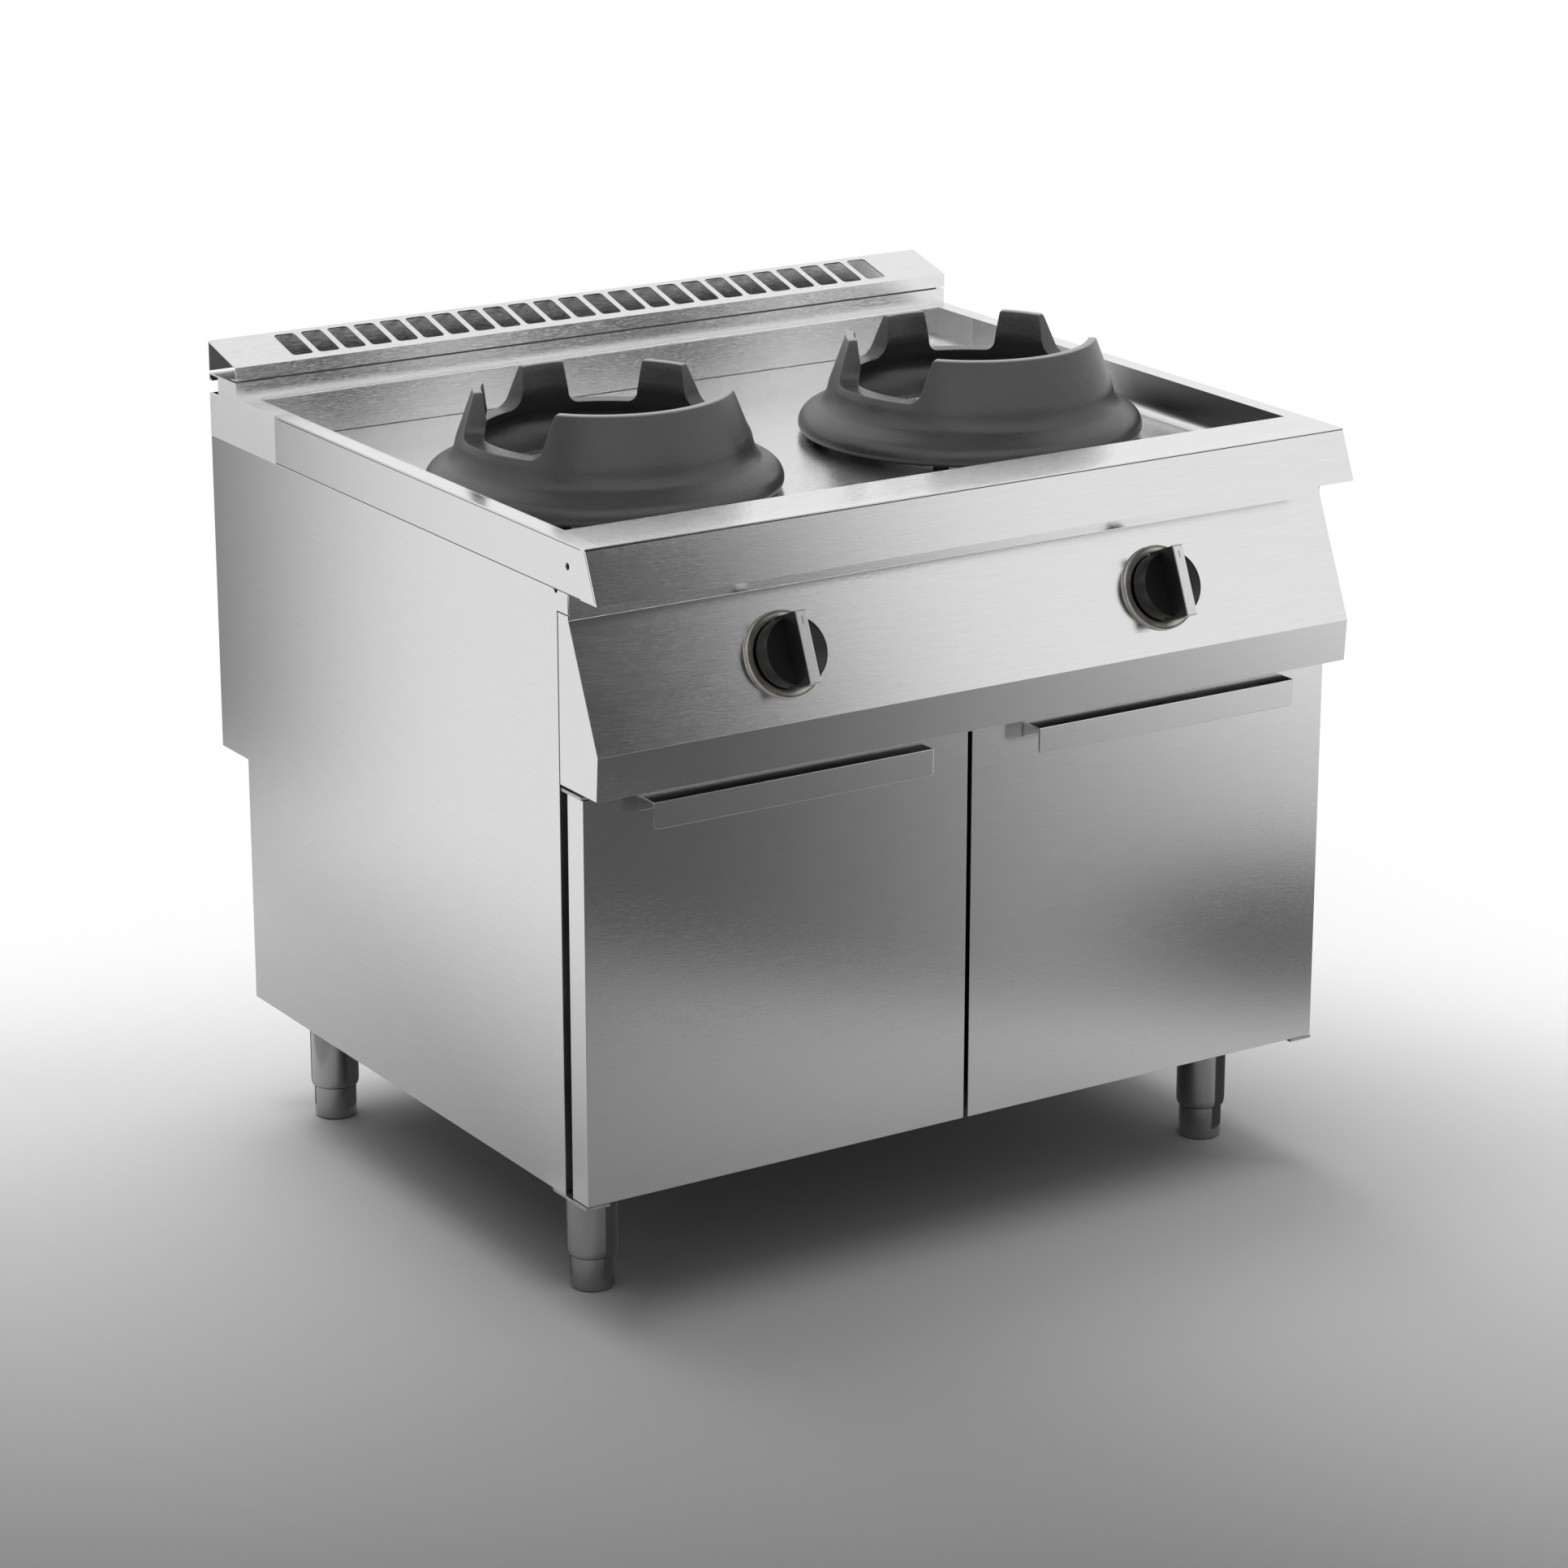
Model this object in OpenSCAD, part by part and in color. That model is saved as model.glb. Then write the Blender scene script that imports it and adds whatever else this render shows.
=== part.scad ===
// Free-standing two-burner wok range: stainless cabinet with two hinged doors,
// a recessed worktop, two lift-off cast wok rings and a slotted flue cover.
// Millimetres. X is the width, the front faces -Y, Z = 0 is the floor.

/* [Overall] */
// Width over the side panels
range_w = 1000; // [900:10:1200]
// Depth from the front lip to the back of the flue cover
range_d = 900; // [860:10:1000]
// Height of the worktop rim above the floor
rim_h = 892; // [840:2:960]
// Height of the underside of the cabinet above the floor
base_h = 149; // [130:1:180]
// Sheet thickness of the cabinet panels
sheet_t = 1.5; // [1:0.1:2]
// Sheet thickness of the worktop
top_t = 2; // [1.5:0.1:3]

/* [Worktop] */
// Height of the slanted front lip and of the side aprons
lip_h = 57; // [45:1:70]
// How far the lip leans out from rim to bottom edge
lip_run = 23.5; // [10:0.5:35]
// Turned-in flange under the lip
lip_flange = 14; // [8:1:20]
// Width of the front rim
front_rim = 79; // [60:1:100]
// Width of the side rims
side_rim = 22; // [16:1:40]
// Flat strip between the well and the rear upstand
rear_rim = 20; // [12:1:30]
// Depth of the well below the rim
well_depth = 50; // [40:1:60]
// Radius of the cove where the well floor meets its walls
cove_r = 15; // [6:1:20]
// Rear edge of the well, from the back of the range
well_back = 90; // [84:1:110]
// Weld seam across the side rims, from the back of the range
seam_back = 169; // [150:1:190]
// Width of the open line at the weld seam
seam_gap = 0.4; // [0.2:0.1:0.8]
// Height of the rear upstand above the rim
upstand_h = 18.5; // [12:0.5:30]
// Rolled bead along the rear edge of the well
bead_r = 1.6; // [1:0.1:3]
// Drop of the upstand's folded rear edge
rear_fold = 9; // [6:0.5:14]
// Turn-back of the upstand's folded rear edge
rear_turn = 6; // [4:0.5:7]
// Rear corner notch of the upstand, depth
notch_d = 22.5; // [15:0.5:26]
// Rear corner notch of the upstand, height
notch_h = 22; // [12:1:30]
// Diameter of the joining hole in each apron
join_d = 8; // [6:0.5:10]
// Joining hole behind the front lip
join_back = 60; // [45:1:80]
// Joining hole below the rim
join_drop = 26.5; // [20:0.5:35]

/* [Flue cover] */
// Gap between upstand and cover
cover_gap = 2.5; // [1.5:0.1:5]
// Height of the cover at its front
cover_front_h = 16; // [12:0.5:25]
// Height of the cover at its back
cover_rear_h = 35.5; // [28:0.5:60]
// Depth of the cover
cover_d = 71; // [66:1:80]
// Turned-in flange under the cover's front
cover_flange = 12; // [8:1:14]
// Number of vent slots
slot_n = 24; // [12:1:24]
// Distance between vent slots
slot_pitch = 35.2; // [33:0.2:36]
// Width of a vent slot
slot_w = 27.5; // [18:0.5:30]
// Length of a vent slot along the slope
slot_l = 54; // [40:1:56]
// Corner radius of a vent slot
slot_r = 5; // [2:0.5:8]
// Width of the duct under the slots
duct_w = 858; // [850:1:868]
// Depth of the duct
duct_d = 50; // [40:1:52]
// Length of the duct below the upstand
duct_l = 230; // [150:5:250]

/* [Cabinet] */
// Front edge of the side panels, behind the lip
side_front = 83; // [78:1:95]
// Depth of the recess behind the lower cabinet
rear_step = 68; // [40:1:80]
// Height of the rear step above the floor
step_h = 450; // [400:5:520]
// Width of the folded edge of the side panels
side_return = 12; // [8:1:20]
// Half-round relief in the top edge of the side panels
relief_r = 4; // [2:0.5:6]
// Height of the front frame's top rail
top_rail_h = 36; // [30:1:44]
// Height of the front frame's bottom rail
bottom_rail_h = 24; // [16:1:40]
// Width of the front frame's stiles
stile_w = 28; // [20:1:40]
// Depth of the front frame's turned-in edges
frame_turn = 22; // [15:1:30]

/* [Control panel] */
// Flat strip under the lip
strip_h = 29.5; // [20:0.5:40]
// Flat strip behind the lip
strip_back = 60; // [50:1:66]
// Vertical height of the slanted face
slant_h = 136; // [120:1:150]
// How far the slanted face leans out
slant_run = 58; // [40:1:60]
// Height of the lower strip
low_h = 49; // [35:1:60]
// How far the lower strip leans back
low_run = 3.5; // [0:0.5:8]
// Turned-in flange at the bottom of the panel
low_flange = 20; // [10:1:26]
// Slit between the panel's cheeks and the side panels
cheek_gap = 1.5; // [0.8:0.1:3]

/* [Knobs] */
// Diameter of the bezel ring
bezel_d = 97; // [90:1:104]
// Diameter of the knob body
knob_d = 76; // [66:1:80]
// Clearance between the knob and its bezel
knob_gap = 1.2; // [0.8:0.1:2]
// Height of the knob's flat face above the panel
knob_h = 28; // [24:1:32]
// Height of the grip above the panel
grip_h = 52; // [44:1:58]
// Length of the grip
grip_l = 81; // [78:1:84]
// Width of the grip at its front
grip_w = 13; // [10:0.5:16]
// Height of the knob's lower edge above the panel
knob_lift = 5.2; // [5:0.1:8]
// Thickness of the metal band bent over the grip
band_t = 2; // [1:0.1:3]
// How far a knob is pushed in to turn it
push_travel = 4; // [2:0.5:4]
// Diameter of the valve stem
stem_d = 8; // [6:0.5:10]
// Clearance around the stem
stem_gap = 0.3; // [0.25:0.05:0.5]
// Length of the gas valve body
valve_l = 44; // [38:1:50]
// Top of the gas valve below the slanted face
valve_drop = 14; // [12:0.5:18]

/* [Doors] */
// Gap between the two doors
door_gap = 6; // [3:0.5:10]
// Gap between a door and the outside of the cabinet
door_side = 3.5; // [2:0.5:6]
// Depth of a door
door_t = 33; // [25:1:36]
// Space between a door and the cabinet front
door_back = 10; // [8:0.5:14]
// Gap over the doors, under the control panel
door_top = 8.6; // [8:0.2:14]
// Width of a handle
handle_w = 358; // [250:2:400]
// How far a handle stands out
handle_out = 33; // [25:1:40]
// Height of a handle's front drop
handle_drop = 31; // [22:1:40]
// Handle top below the top of the door
handle_down = 4; // [3:0.5:12]
// Corner radius of a handle's front drop
handle_r = 5; // [2:0.5:10]
// Thickness of the handle plate
handle_t = 2; // [1.5:0.1:3]
// Distance of the hinge pins from the side of the range
pin_side = 15; // [14:0.5:20]
// Diameter of the hinge pins
pin_d = 8; // [6:0.5:10]
// Clearance around a hinge pin
pin_gap = 0.25; // [0.2:0.05:0.5]
// Length of the hinge pins
pin_l = 20; // [18:1:24]
// Thickness of the hinge plates
hinge_t = 3.5; // [3:0.1:4]
// Width of the hinge plates
hinge_w = 30; // [26:1:40]
// Length of the bushes in the doors
bush_l = 18; // [14:1:22]
// Inner end of a door magnet, from the middle of the range
magnet_x = 24; // [16:1:60]
// Length of a door magnet and of its keeper plate
magnet_l = 46; // [30:1:60]
// Height of a door magnet and of its keeper plate
magnet_h = 14; // [10:1:18]

/* [Legs] */
// Distance of a leg's centre from the side of the range
leg_side = 75; // [60:1:110]
// Front leg centres behind the lip
leg_front = 156; // [140:1:200]
// Rear leg centres from the back of the range
leg_rear = 124.5; // [110:0.5:160]
// Outside diameter of the leg tube
leg_d = 58; // [50:1:64]
// Diameter of the adjustable foot
foot_d = 50.4; // [40:0.2:52]
// Depth of the leg's nut plate inside the tube
nut_drop = 48; // [44:1:54]
// Visible height of the foot
foot_h = 40; // [20:1:60]
// Clearance between foot and leg tube
foot_gap = 0.4; // [0.3:0.05:1]
// Diameter of the foot's threaded stem
foot_stem_d = 16; // [12:1:20]

/* [Wok rings] */
// Distance between the two burner centres
burner_pitch = 500; // [460:10:560]
// Burner centres behind the lip
burner_back = 408; // [380:2:430]
// Outside diameter of a ring at its flared base
ring_d = 406; // [380:2:420]
// Outside diameter of a ring where the flare starts
ring_wall_d = 336; // [320:1:350]
// Outside diameter of a ring at its top
ring_top_d = 293; // [280:1:310]
// Height of a ring above the well floor
ring_h = 117; // [110:1:125]
// Height of the flared base
flare_h = 44; // [38:1:50]
// Height of the slot floors above the well floor
gap_floor_h = 67; // [62:1:72]
// Corner radius of the slots
gap_r = 14; // [8:1:18]
// Angle of the front shield
shield_a = 104; // [90:1:120]
// Angle of each prong
prong_a = 22; // [16:1:26]
// Air gap under the flared base
air_gap = 11; // [8:0.5:14]
// Wall thickness of a ring
ring_t = 9; // [7:0.5:10]
// Width of the four pads cast under a ring
pad_w = 14; // [10:1:18]

/* [Burners] */
// Diameter of the burner opening in the well floor
mouth_d = 216; // [200:2:240]
// Height of the raised collar round the opening
mouth_h = 16; // [10:1:22]
// Diameter of the burner crown
crown_d = 150; // [130:2:170]
// Number of flame ports round the crown
port_n = 24; // [12:1:30]
// Top of the burner below the well floor
crown_drop = 6; // [2:1:15]
// Height of the burner
crown_h = 58; // [45:1:70]
// Diameter of the burner's mixing tube
mixer_d = 34; // [28:1:38]
// Height of the mixing tube's axis above the beam
mixer_rise = 18; // [18:0.5:22]
// Width of the injector's hexagon over its corners
injector_d = 16; // [14:0.5:20]
// Diameter of the pipe from a tap to its injector
pipe_d = 10; // [8:0.5:12]
// Height of the beam that carries the burners
beam_h = 22; // [16:1:30]
// Width of the beam
beam_w = 46; // [40:1:56]
// Diameter of the gas rail
rail_d = 27; // [21:1:30]
// Diameter of the gas inlet thread
inlet_d = 21; // [17:0.5:26]
// Length of the gas inlet's thread
inlet_l = 24; // [15:1:35]
// Plain neck between the thread and the rear step
inlet_neck = 1.5; // [1:0.1:4]

/* [Hidden] */
$fn = 64;
eps = 0.01;
seat = 0.3;
steel = [0.74, 0.75, 0.76];
dark_steel = [0.42, 0.43, 0.44];
cast_grey = [0.25, 0.25, 0.27];
black = [0.07, 0.07, 0.075];
bezel_tone = [0.62, 0.60, 0.53];
brass_tone = [0.78, 0.62, 0.32];

// Lean of the slanted control face, from the vertical
lean = atan(slant_run / slant_h);
// The lower edge of the slanted face stands this far behind the lip
low_back = strip_back - slant_run;
// The grip's lower front corner is the foremost point of the range
knob_reach = grip_h * cos(lean) + grip_l / 2 * sin(lean) - low_back - slant_run / 2;
overall_d = range_d + knob_reach;
front_y = knob_reach - overall_d / 2;
rear_y = overall_d / 2;
hw = range_w / 2;

// Worktop places
rim_y = front_y + lip_run;
well_front_y = rim_y + front_rim;
well_rear_y = rear_y - well_back;
upstand_y = well_rear_y + rear_rim;
seam_y = rear_y - seam_back;
lip_z = rim_h - lip_h;
floor_z = rim_h - well_depth;
well_x = hw - side_rim;
upstand_z = rim_h + upstand_h;
notch_y = rear_y - notch_d;
notch_top_z = upstand_z - top_t;
notch_z = notch_top_z - notch_h;

// Flue places
cover_z = upstand_z + cover_gap;
cover_y = rear_y - cover_d;
slope = atan((cover_rear_h - cover_front_h) / cover_d);
duct_y = cover_y + (cover_d - duct_d) / 2 + 3;

// Cabinet places
side_y = front_y + side_front;
lower_rear_y = rear_y - rear_step;
strip_y = front_y + strip_back;
strip_z = lip_z - strip_h + 0.5;
slant_y = front_y + low_back;
slant_z = strip_z - slant_h;
low_z = slant_z - low_h;
low_y = slant_y + low_run;
shield_z = low_z + 2;

// Door places
door_y1 = side_y - door_back;
door_y0 = door_y1 - door_t;
door_z0 = base_h;
door_z1 = low_z - door_top;
door_x0 = door_gap / 2;
door_x1 = hw - door_side;
pin_x = hw - pin_side;
pin_y = (door_y0 + door_y1) / 2;
lower_plate_z = door_z0 - 0.9 - hinge_t;
upper_plate_z = door_z1 + 0.8;
magnet_z = door_z1 - magnet_h - 2;

// Knob places, on the middle of the slanted face
knob_x = burner_pitch / 2;
knob_y = slant_y + slant_run / 2;
knob_z = slant_z + slant_h / 2;
valve_z = -valve_drop;

// Leg and burner places
leg_x = hw - leg_side;
leg_y0 = front_y + leg_front;
leg_y1 = rear_y - leg_rear;
burner_x = burner_pitch / 2;
burner_y = front_y + burner_back;
crown_z = floor_z - crown_drop;
beam_z = crown_z - crown_h;

// The gas rail crosses behind the valves
rail_drop = valve_l - valve_z + rail_d / 2;
rail_y = knob_y + rail_drop * cos(lean);
rail_z = knob_z - rail_drop * sin(lean);
supply_x = hw - 42;
supply_y = rear_y - rear_step / 2;

function unit(v) = v / norm(v);
function left_of(a, b) = let(d = unit(b - a)) [-d[1], d[0]];
function last(v) = v[len(v) - 1];

// Corner i of a folded line, moved t to the left of its travel, mitred
function moved(p, t, i) =
    let(n1 = i < len(p) - 1 ? left_of(p[i], p[i + 1]) : left_of(p[i - 1], p[i]),
        n0 = i > 0 ? left_of(p[i - 1], p[i]) : n1)
    p[i] + (n0 + n1) * t / (1 + n0 * n1);

// Section of a sheet of thickness t folded along the line p
function folded(p, t) = concat(p, [for (i = [len(p) - 1 : -1 : 0]) moved(p, t, i)]);

// Points of an arc from angle a0 to a1
function arc(c, r, a0, a1, n = 8) =
    [for (i = [0 : n]) let(a = a0 + (a1 - a0) * i / n) c + r * [cos(a), sin(a)]];

// Quadratic curve from a to c that leans towards b
function bend(a, b, c, n = 6) =
    [for (i = [0 : n]) let(t = i / n) (1 - t) * (1 - t) * a + 2 * t * (1 - t) * b + t * t * c];

// A Y-Z section carried along X, and an X-Z section carried along Y
module along_x(x0, x1) {
    translate([x0, 0, 0]) rotate([90, 0, 90]) linear_extrude(height = x1 - x0) children();
}
module along_y(y0, y1) {
    translate([0, y1, 0]) rotate([90, 0, 0]) linear_extrude(height = y1 - y0) children();
}
module block(lo, hi) {
    translate(lo) cube(hi - lo);
}
// Rounded rectangle centred on the origin
module soft_rect(w, h, r) {
    square([w - 2 * r, h], center = true);
    square([w, h - 2 * r], center = true);
    for (x = [-1, 1], y = [-1, 1])
        translate([x * (w / 2 - r), y * (h / 2 - r)]) circle(r, $fn = 24);
}
module both_sides() {
    children();
    mirror([1, 0, 0]) children();
}
// Places children with Z along a knob's axis and Y up the slanted face
module at_knob(side) {
    translate([side * knob_x, knob_y, knob_z]) rotate([90 - lean, 0, 0]) children();
}
module tube(d, inner_d, h) {
    difference() {
        cylinder(d = d, h = h);
        translate([0, 0, -1]) cylinder(d = inner_d, h = h + 2);
    }
}

// Worktop: rims, lip and aprons folded round the well

function side_section(wall_bottom) = concat(
    [[-hw + lip_flange / 2, lip_z], [-hw, lip_z], [-hw, rim_h], [-well_x, rim_h]],
    wall_bottom);

module worktop_side() {
    cove = arc([-well_x + cove_r, floor_z + cove_r], cove_r, 180, 270);
    along_y(well_front_y, seam_y) polygon(folded(side_section(cove), -top_t));
    along_x(-hw, -hw + top_t)
        polygon([[front_y, lip_z], [rim_y, rim_h], [well_front_y + eps, rim_h],
            [well_front_y + eps, lip_z]]);
}

module burner_mouth() {
    r = mouth_d / 2;
    rotate_extrude($fn = 96)
        polygon(folded(concat(
            [[r + 16, floor_z]],
            bend([r + 10, floor_z], [r + 4, floor_z], [r + 2, floor_z + mouth_h * 0.6], 5),
            bend([r + 1.5, floor_z + mouth_h * 0.8], [r, floor_z + mouth_h],
                [r - 4, floor_z + mouth_h], 4)), top_t));
}

module worktop() color(steel) {
    front = concat(
        [[well_front_y + cove_r + eps, floor_z]],
        arc([well_front_y + cove_r, floor_z + cove_r], cove_r, 270, 180),
        [[well_front_y, rim_h], [rim_y, rim_h], [front_y, lip_z], [front_y + lip_flange, lip_z]]);
    difference() {
        union() {
            along_x(-hw, hw) polygon(folded(front, top_t));
            both_sides() worktop_side();
            block([-well_x + cove_r - eps, well_front_y + cove_r, floor_z - top_t],
                [well_x - cove_r + eps, well_rear_y - top_t, floor_z]);
        }
        for (x = [-1, 1]) {
            translate([x * burner_x, burner_y, floor_z - 5]) cylinder(d = mouth_d + 24, h = 10);
            translate([x * hw, front_y + join_back, rim_h - join_drop]) rotate([0, 90, 0])
                cylinder(d = join_d, h = 10, center = true);
        }
    }
    for (x = [-1, 1]) translate([x * burner_x, burner_y, 0]) burner_mouth();
}

// Rear upstand, welded behind the seam, with the notched rear corners

module upstand_side() {
    cove = arc([-well_x + cove_r, floor_z + cove_r], cove_r, 180, 270);
    y0 = seam_y + seam_gap;
    along_y(y0, well_rear_y) polygon(folded(side_section(cove), -top_t));
    along_y(well_rear_y - eps, upstand_y)
        polygon(folded([[-hw, lip_z], [-hw, rim_h], [-well_x, rim_h]], -top_t));
    along_x(-hw, -hw + top_t)
        polygon([[well_rear_y, lip_z], [well_rear_y, rim_h], [upstand_y, rim_h],
            [upstand_y, upstand_z], [notch_y, upstand_z], [notch_y, notch_z], [rear_y, notch_z],
            [rear_y, lip_z]]);
}

module upstand() color(steel) {
    step = [[well_rear_y, floor_z - top_t], [well_rear_y, rim_h], [upstand_y, rim_h],
        [upstand_y, upstand_z], [rear_y, upstand_z], [rear_y, upstand_z - rear_fold],
        [rear_y - rear_turn, upstand_z - rear_fold]];
    difference() {
        union() {
            both_sides() upstand_side();
            along_x(-well_x + eps, well_x - eps)
                polygon(folded([step[0], step[1], step[2]], -top_t));
            along_x(-hw, hw)
                polygon(folded([step[1] + [eps, 0], step[2], step[3], step[4]], -top_t));
            along_x(-hw, hw)
                polygon(folded([step[3] + [eps, 0], step[4], step[5], step[6]], -top_t));
            block([-hw, rear_y - top_t, lip_z], [hw, rear_y, notch_z]);
            block([-hw + notch_d, rear_y - top_t, notch_z - eps],
                [hw - notch_d, rear_y, upstand_z - rear_fold + eps]);
            along_x(-well_x + 2, well_x - 2) translate([well_rear_y + bead_r * 0.4, rim_h])
                circle(bead_r, $fn = 24);
        }
        block([-duct_w / 2 - seat, duct_y - seat, notch_top_z - 1],
            [duct_w / 2 + seat, duct_y + duct_d + seat, upstand_z + 1]);
    }
}

// Sloped flue cover with its row of vent slots

module flue_cover() color(steel) {
    run = cover_d / cos(slope);
    difference() {
        along_x(-hw, hw)
            polygon(folded([[cover_y + cover_flange, cover_z], [cover_y, cover_z],
                [cover_y, cover_z + cover_front_h], [rear_y, cover_z + cover_rear_h],
                [rear_y, cover_z]], -sheet_t));
        translate([0, cover_y, cover_z + cover_front_h]) rotate([slope, 0, 0])
            for (i = [0 : slot_n - 1])
                translate([(i - (slot_n - 1) / 2) * slot_pitch, run / 2 + 2.5, -6])
                    linear_extrude(height = 12) soft_rect(slot_w, slot_l, slot_r);
    }
}

module cover_spacer() color(dark_steel) {
    block([-hw + 10, cover_y + 4, upstand_z], [hw - 10, duct_y - 2.2, cover_z]);
}

module flue_duct() color(dark_steel) {
    y1 = duct_y + duct_d;
    top_z = cover_z + 4;
    difference() {
        union() {
            block([-duct_w / 2, duct_y, upstand_z - duct_l], [duct_w / 2, y1, top_z]);
            block([-duct_w / 2 - 9, duct_y, upstand_z], [duct_w / 2 + 9, y1, upstand_z + 1.5]);
        }
        block([-duct_w / 2 + sheet_t, duct_y + sheet_t, upstand_z - duct_l - 1],
            [duct_w / 2 - sheet_t, y1 - sheet_t, top_z + 1]);
    }
}

// Cabinet sheets

module side_panel(side) color(steel) {
    x0 = side < 0 ? -hw : hw - sheet_t;
    f0 = side < 0 ? -hw : hw - side_return;
    difference() {
        union() {
            along_x(x0, x0 + sheet_t)
                polygon([[side_y, base_h], [lower_rear_y, base_h], [lower_rear_y, step_h],
                    [rear_y, step_h], [rear_y, lip_z], [strip_y, lip_z], [strip_y, strip_z + 6],
                    [side_y, strip_z + 6]]);
            block([f0, side_y, base_h], [f0 + side_return, side_y + sheet_t, strip_z]);
            block([f0, lower_rear_y - sheet_t, base_h],
                [f0 + side_return, lower_rear_y, step_h + sheet_t]);
            block([f0, rear_y - sheet_t, step_h], [f0 + side_return, rear_y, lip_z]);
        }
        translate([side * hw, side_y + 3, lip_z]) rotate([0, 90, 0])
            cylinder(r = relief_r, h = 10, center = true);
    }
}

module back_panel() color(steel) {
    x1 = hw - sheet_t - seat;
    y1 = lower_rear_y - sheet_t;
    y2 = rear_y - sheet_t;
    difference() {
        along_x(-x1, x1)
            polygon(folded([[y1, base_h + sheet_t], [y1, step_h + sheet_t], [y2, step_h + sheet_t],
                [y2, lip_z]], sheet_t));
        for (i = [-9 : 9], z = [0, 1])
            translate([i * 44, y2, step_h + 230 + z * 60]) rotate([90, 0, 0])
                linear_extrude(height = 10, center = true) soft_rect(32, 6, 2.9);
        translate([supply_x, supply_y, step_h]) cylinder(d = inlet_d + 1, h = 10, center = true);
    }
}

module base_shelf() color(steel) {
    x1 = hw - sheet_t - seat;
    along_x(-x1, x1)
        polygon(folded([[side_y + sheet_t, base_h + 14], [side_y + sheet_t, base_h],
            [lower_rear_y - 2 * sheet_t - seat, base_h],
            [lower_rear_y - 2 * sheet_t - seat, base_h + 14]], sheet_t));
}

module front_frame() color(steel) {
    y0 = side_y;
    z0 = base_h + 15;
    z1 = low_z + 10;
    x1 = hw - side_return;
    x2 = x1 - stile_w;
    z2 = z0 + bottom_rail_h;
    z3 = z1 - top_rail_h;
    difference() {
        block([-x1, y0, z0], [x1, y0 + sheet_t, z1]);
        block([-x2, y0 - 1, z2], [x2, y0 + 3, z3]);
    }
    for (x = [-x2, x2 - sheet_t]) block([x, y0, z2], [x + sheet_t, y0 + frame_turn, z3]);
    block([-x2, y0, z3 - sheet_t], [x2, y0 + frame_turn, z3]);
}

module heat_shield() color(dark_steel) {
    x1 = hw - sheet_t - seat;
    difference() {
        block([-x1, side_y + sheet_t + seat, shield_z],
            [x1, rear_y - 2 * sheet_t - seat, shield_z + sheet_t]);
        translate([supply_x, supply_y, shield_z]) cylinder(d = rail_d + 1, h = 10, center = true);
    }
    for (side = [-1, 1])
        block([side < 0 ? -x1 : x1 - sheet_t, side_y + 20, shield_z],
            [side < 0 ? -x1 + sheet_t : x1, rear_y - 20, shield_z + 16]);
}

module control_panel() color(steel) {
    face = [[strip_y + 15, strip_z + strip_h + 10], [strip_y, strip_z + strip_h + 10],
        [strip_y, strip_z], [slant_y, slant_z], [low_y, low_z], [low_y + low_flange, low_z]];
    difference() {
        along_x(-hw + sheet_t, hw - sheet_t) polygon(folded(face, sheet_t));
        for (side = [-1, 1])
            at_knob(side) cylinder(d = stem_d + 6, h = 20, center = true);
        both_sides() block([-hw, strip_y - 1, lip_z - seat],
            [-hw + top_t + seat, strip_y + 20, lip_z + 20]);
    }
    both_sides() along_x(-hw, -hw + sheet_t)
        polygon([[strip_y, strip_z + 5], [strip_y, strip_z], [slant_y, slant_z], [low_y, low_z],
            [side_y - cheek_gap, low_z], [side_y - cheek_gap, strip_z + 5]]);
}

// Knob and valve group, drawn along the knob's own axis

module bezel() {
    r1 = bezel_d / 2;
    r0 = knob_d / 2 + knob_gap;
    rotate_extrude($fn = 96)
        polygon(concat([[r0, 0], [r1, 0]], arc([r1 - 1.5, 3], 1.5, 0, 90, 4),
            [[r1 - 3, 4.2], [r0, 1.6]]));
}

// The whole grip, a bar that tapers towards its front
module grip_bar() {
    z0 = knob_lift + 4;
    rotate([90, 0, 0]) linear_extrude(height = grip_l, center = true)
        polygon([[-grip_w / 2 - 3, z0], [grip_w / 2 + 3, z0], [grip_w / 2, grip_h],
            [-grip_w / 2, grip_h]]);
}
// The part of it inside the metal band
module grip_core() {
    block([-grip_w, band_t - grip_l / 2, 0], [grip_w, grip_l / 2 - band_t, grip_h - band_t]);
}

module knob_body() {
    r = knob_d / 2;
    difference() {
        union() {
            rotate_extrude($fn = 96)
                polygon(concat([[0, knob_lift], [r, knob_lift]],
                    arc([r - 1.5, knob_h - 1.5], 1.5, 0, 90, 4), [[0, knob_h]]));
            intersection() {
                grip_bar();
                grip_core();
            }
        }
        difference() {
            translate([0, 0, knob_lift - 1]) cylinder(r = r - 3, h = knob_h - 3 - knob_lift + 1);
            cylinder(d = stem_d + 10, h = knob_h);
        }
        cylinder(d = stem_d + 2 * stem_gap, h = knob_h - 3);
    }
}

// Metal band over the front of the grip and down both its ends
module knob_insert() {
    difference() {
        grip_bar();
        grip_core();
    }
}

module stem() {
    difference() {
        translate([0, 0, valve_z - 16]) cylinder(d = stem_d, h = knob_h - 3 - stem_gap - valve_z + 16);
        translate([-stem_d, stem_d / 2 - 1.5, 6]) cube([stem_d * 2, 5, 20]);
    }
}

module collar() {
    translate([0, 0, valve_z + push_travel + 0.4]) tube(stem_d + 8, stem_d + 2 * stem_gap, 3);
    translate([0, 0, valve_z - 1.5]) tube(stem_d + 4, stem_d + 2 * stem_gap, push_travel + 2);
}

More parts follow.
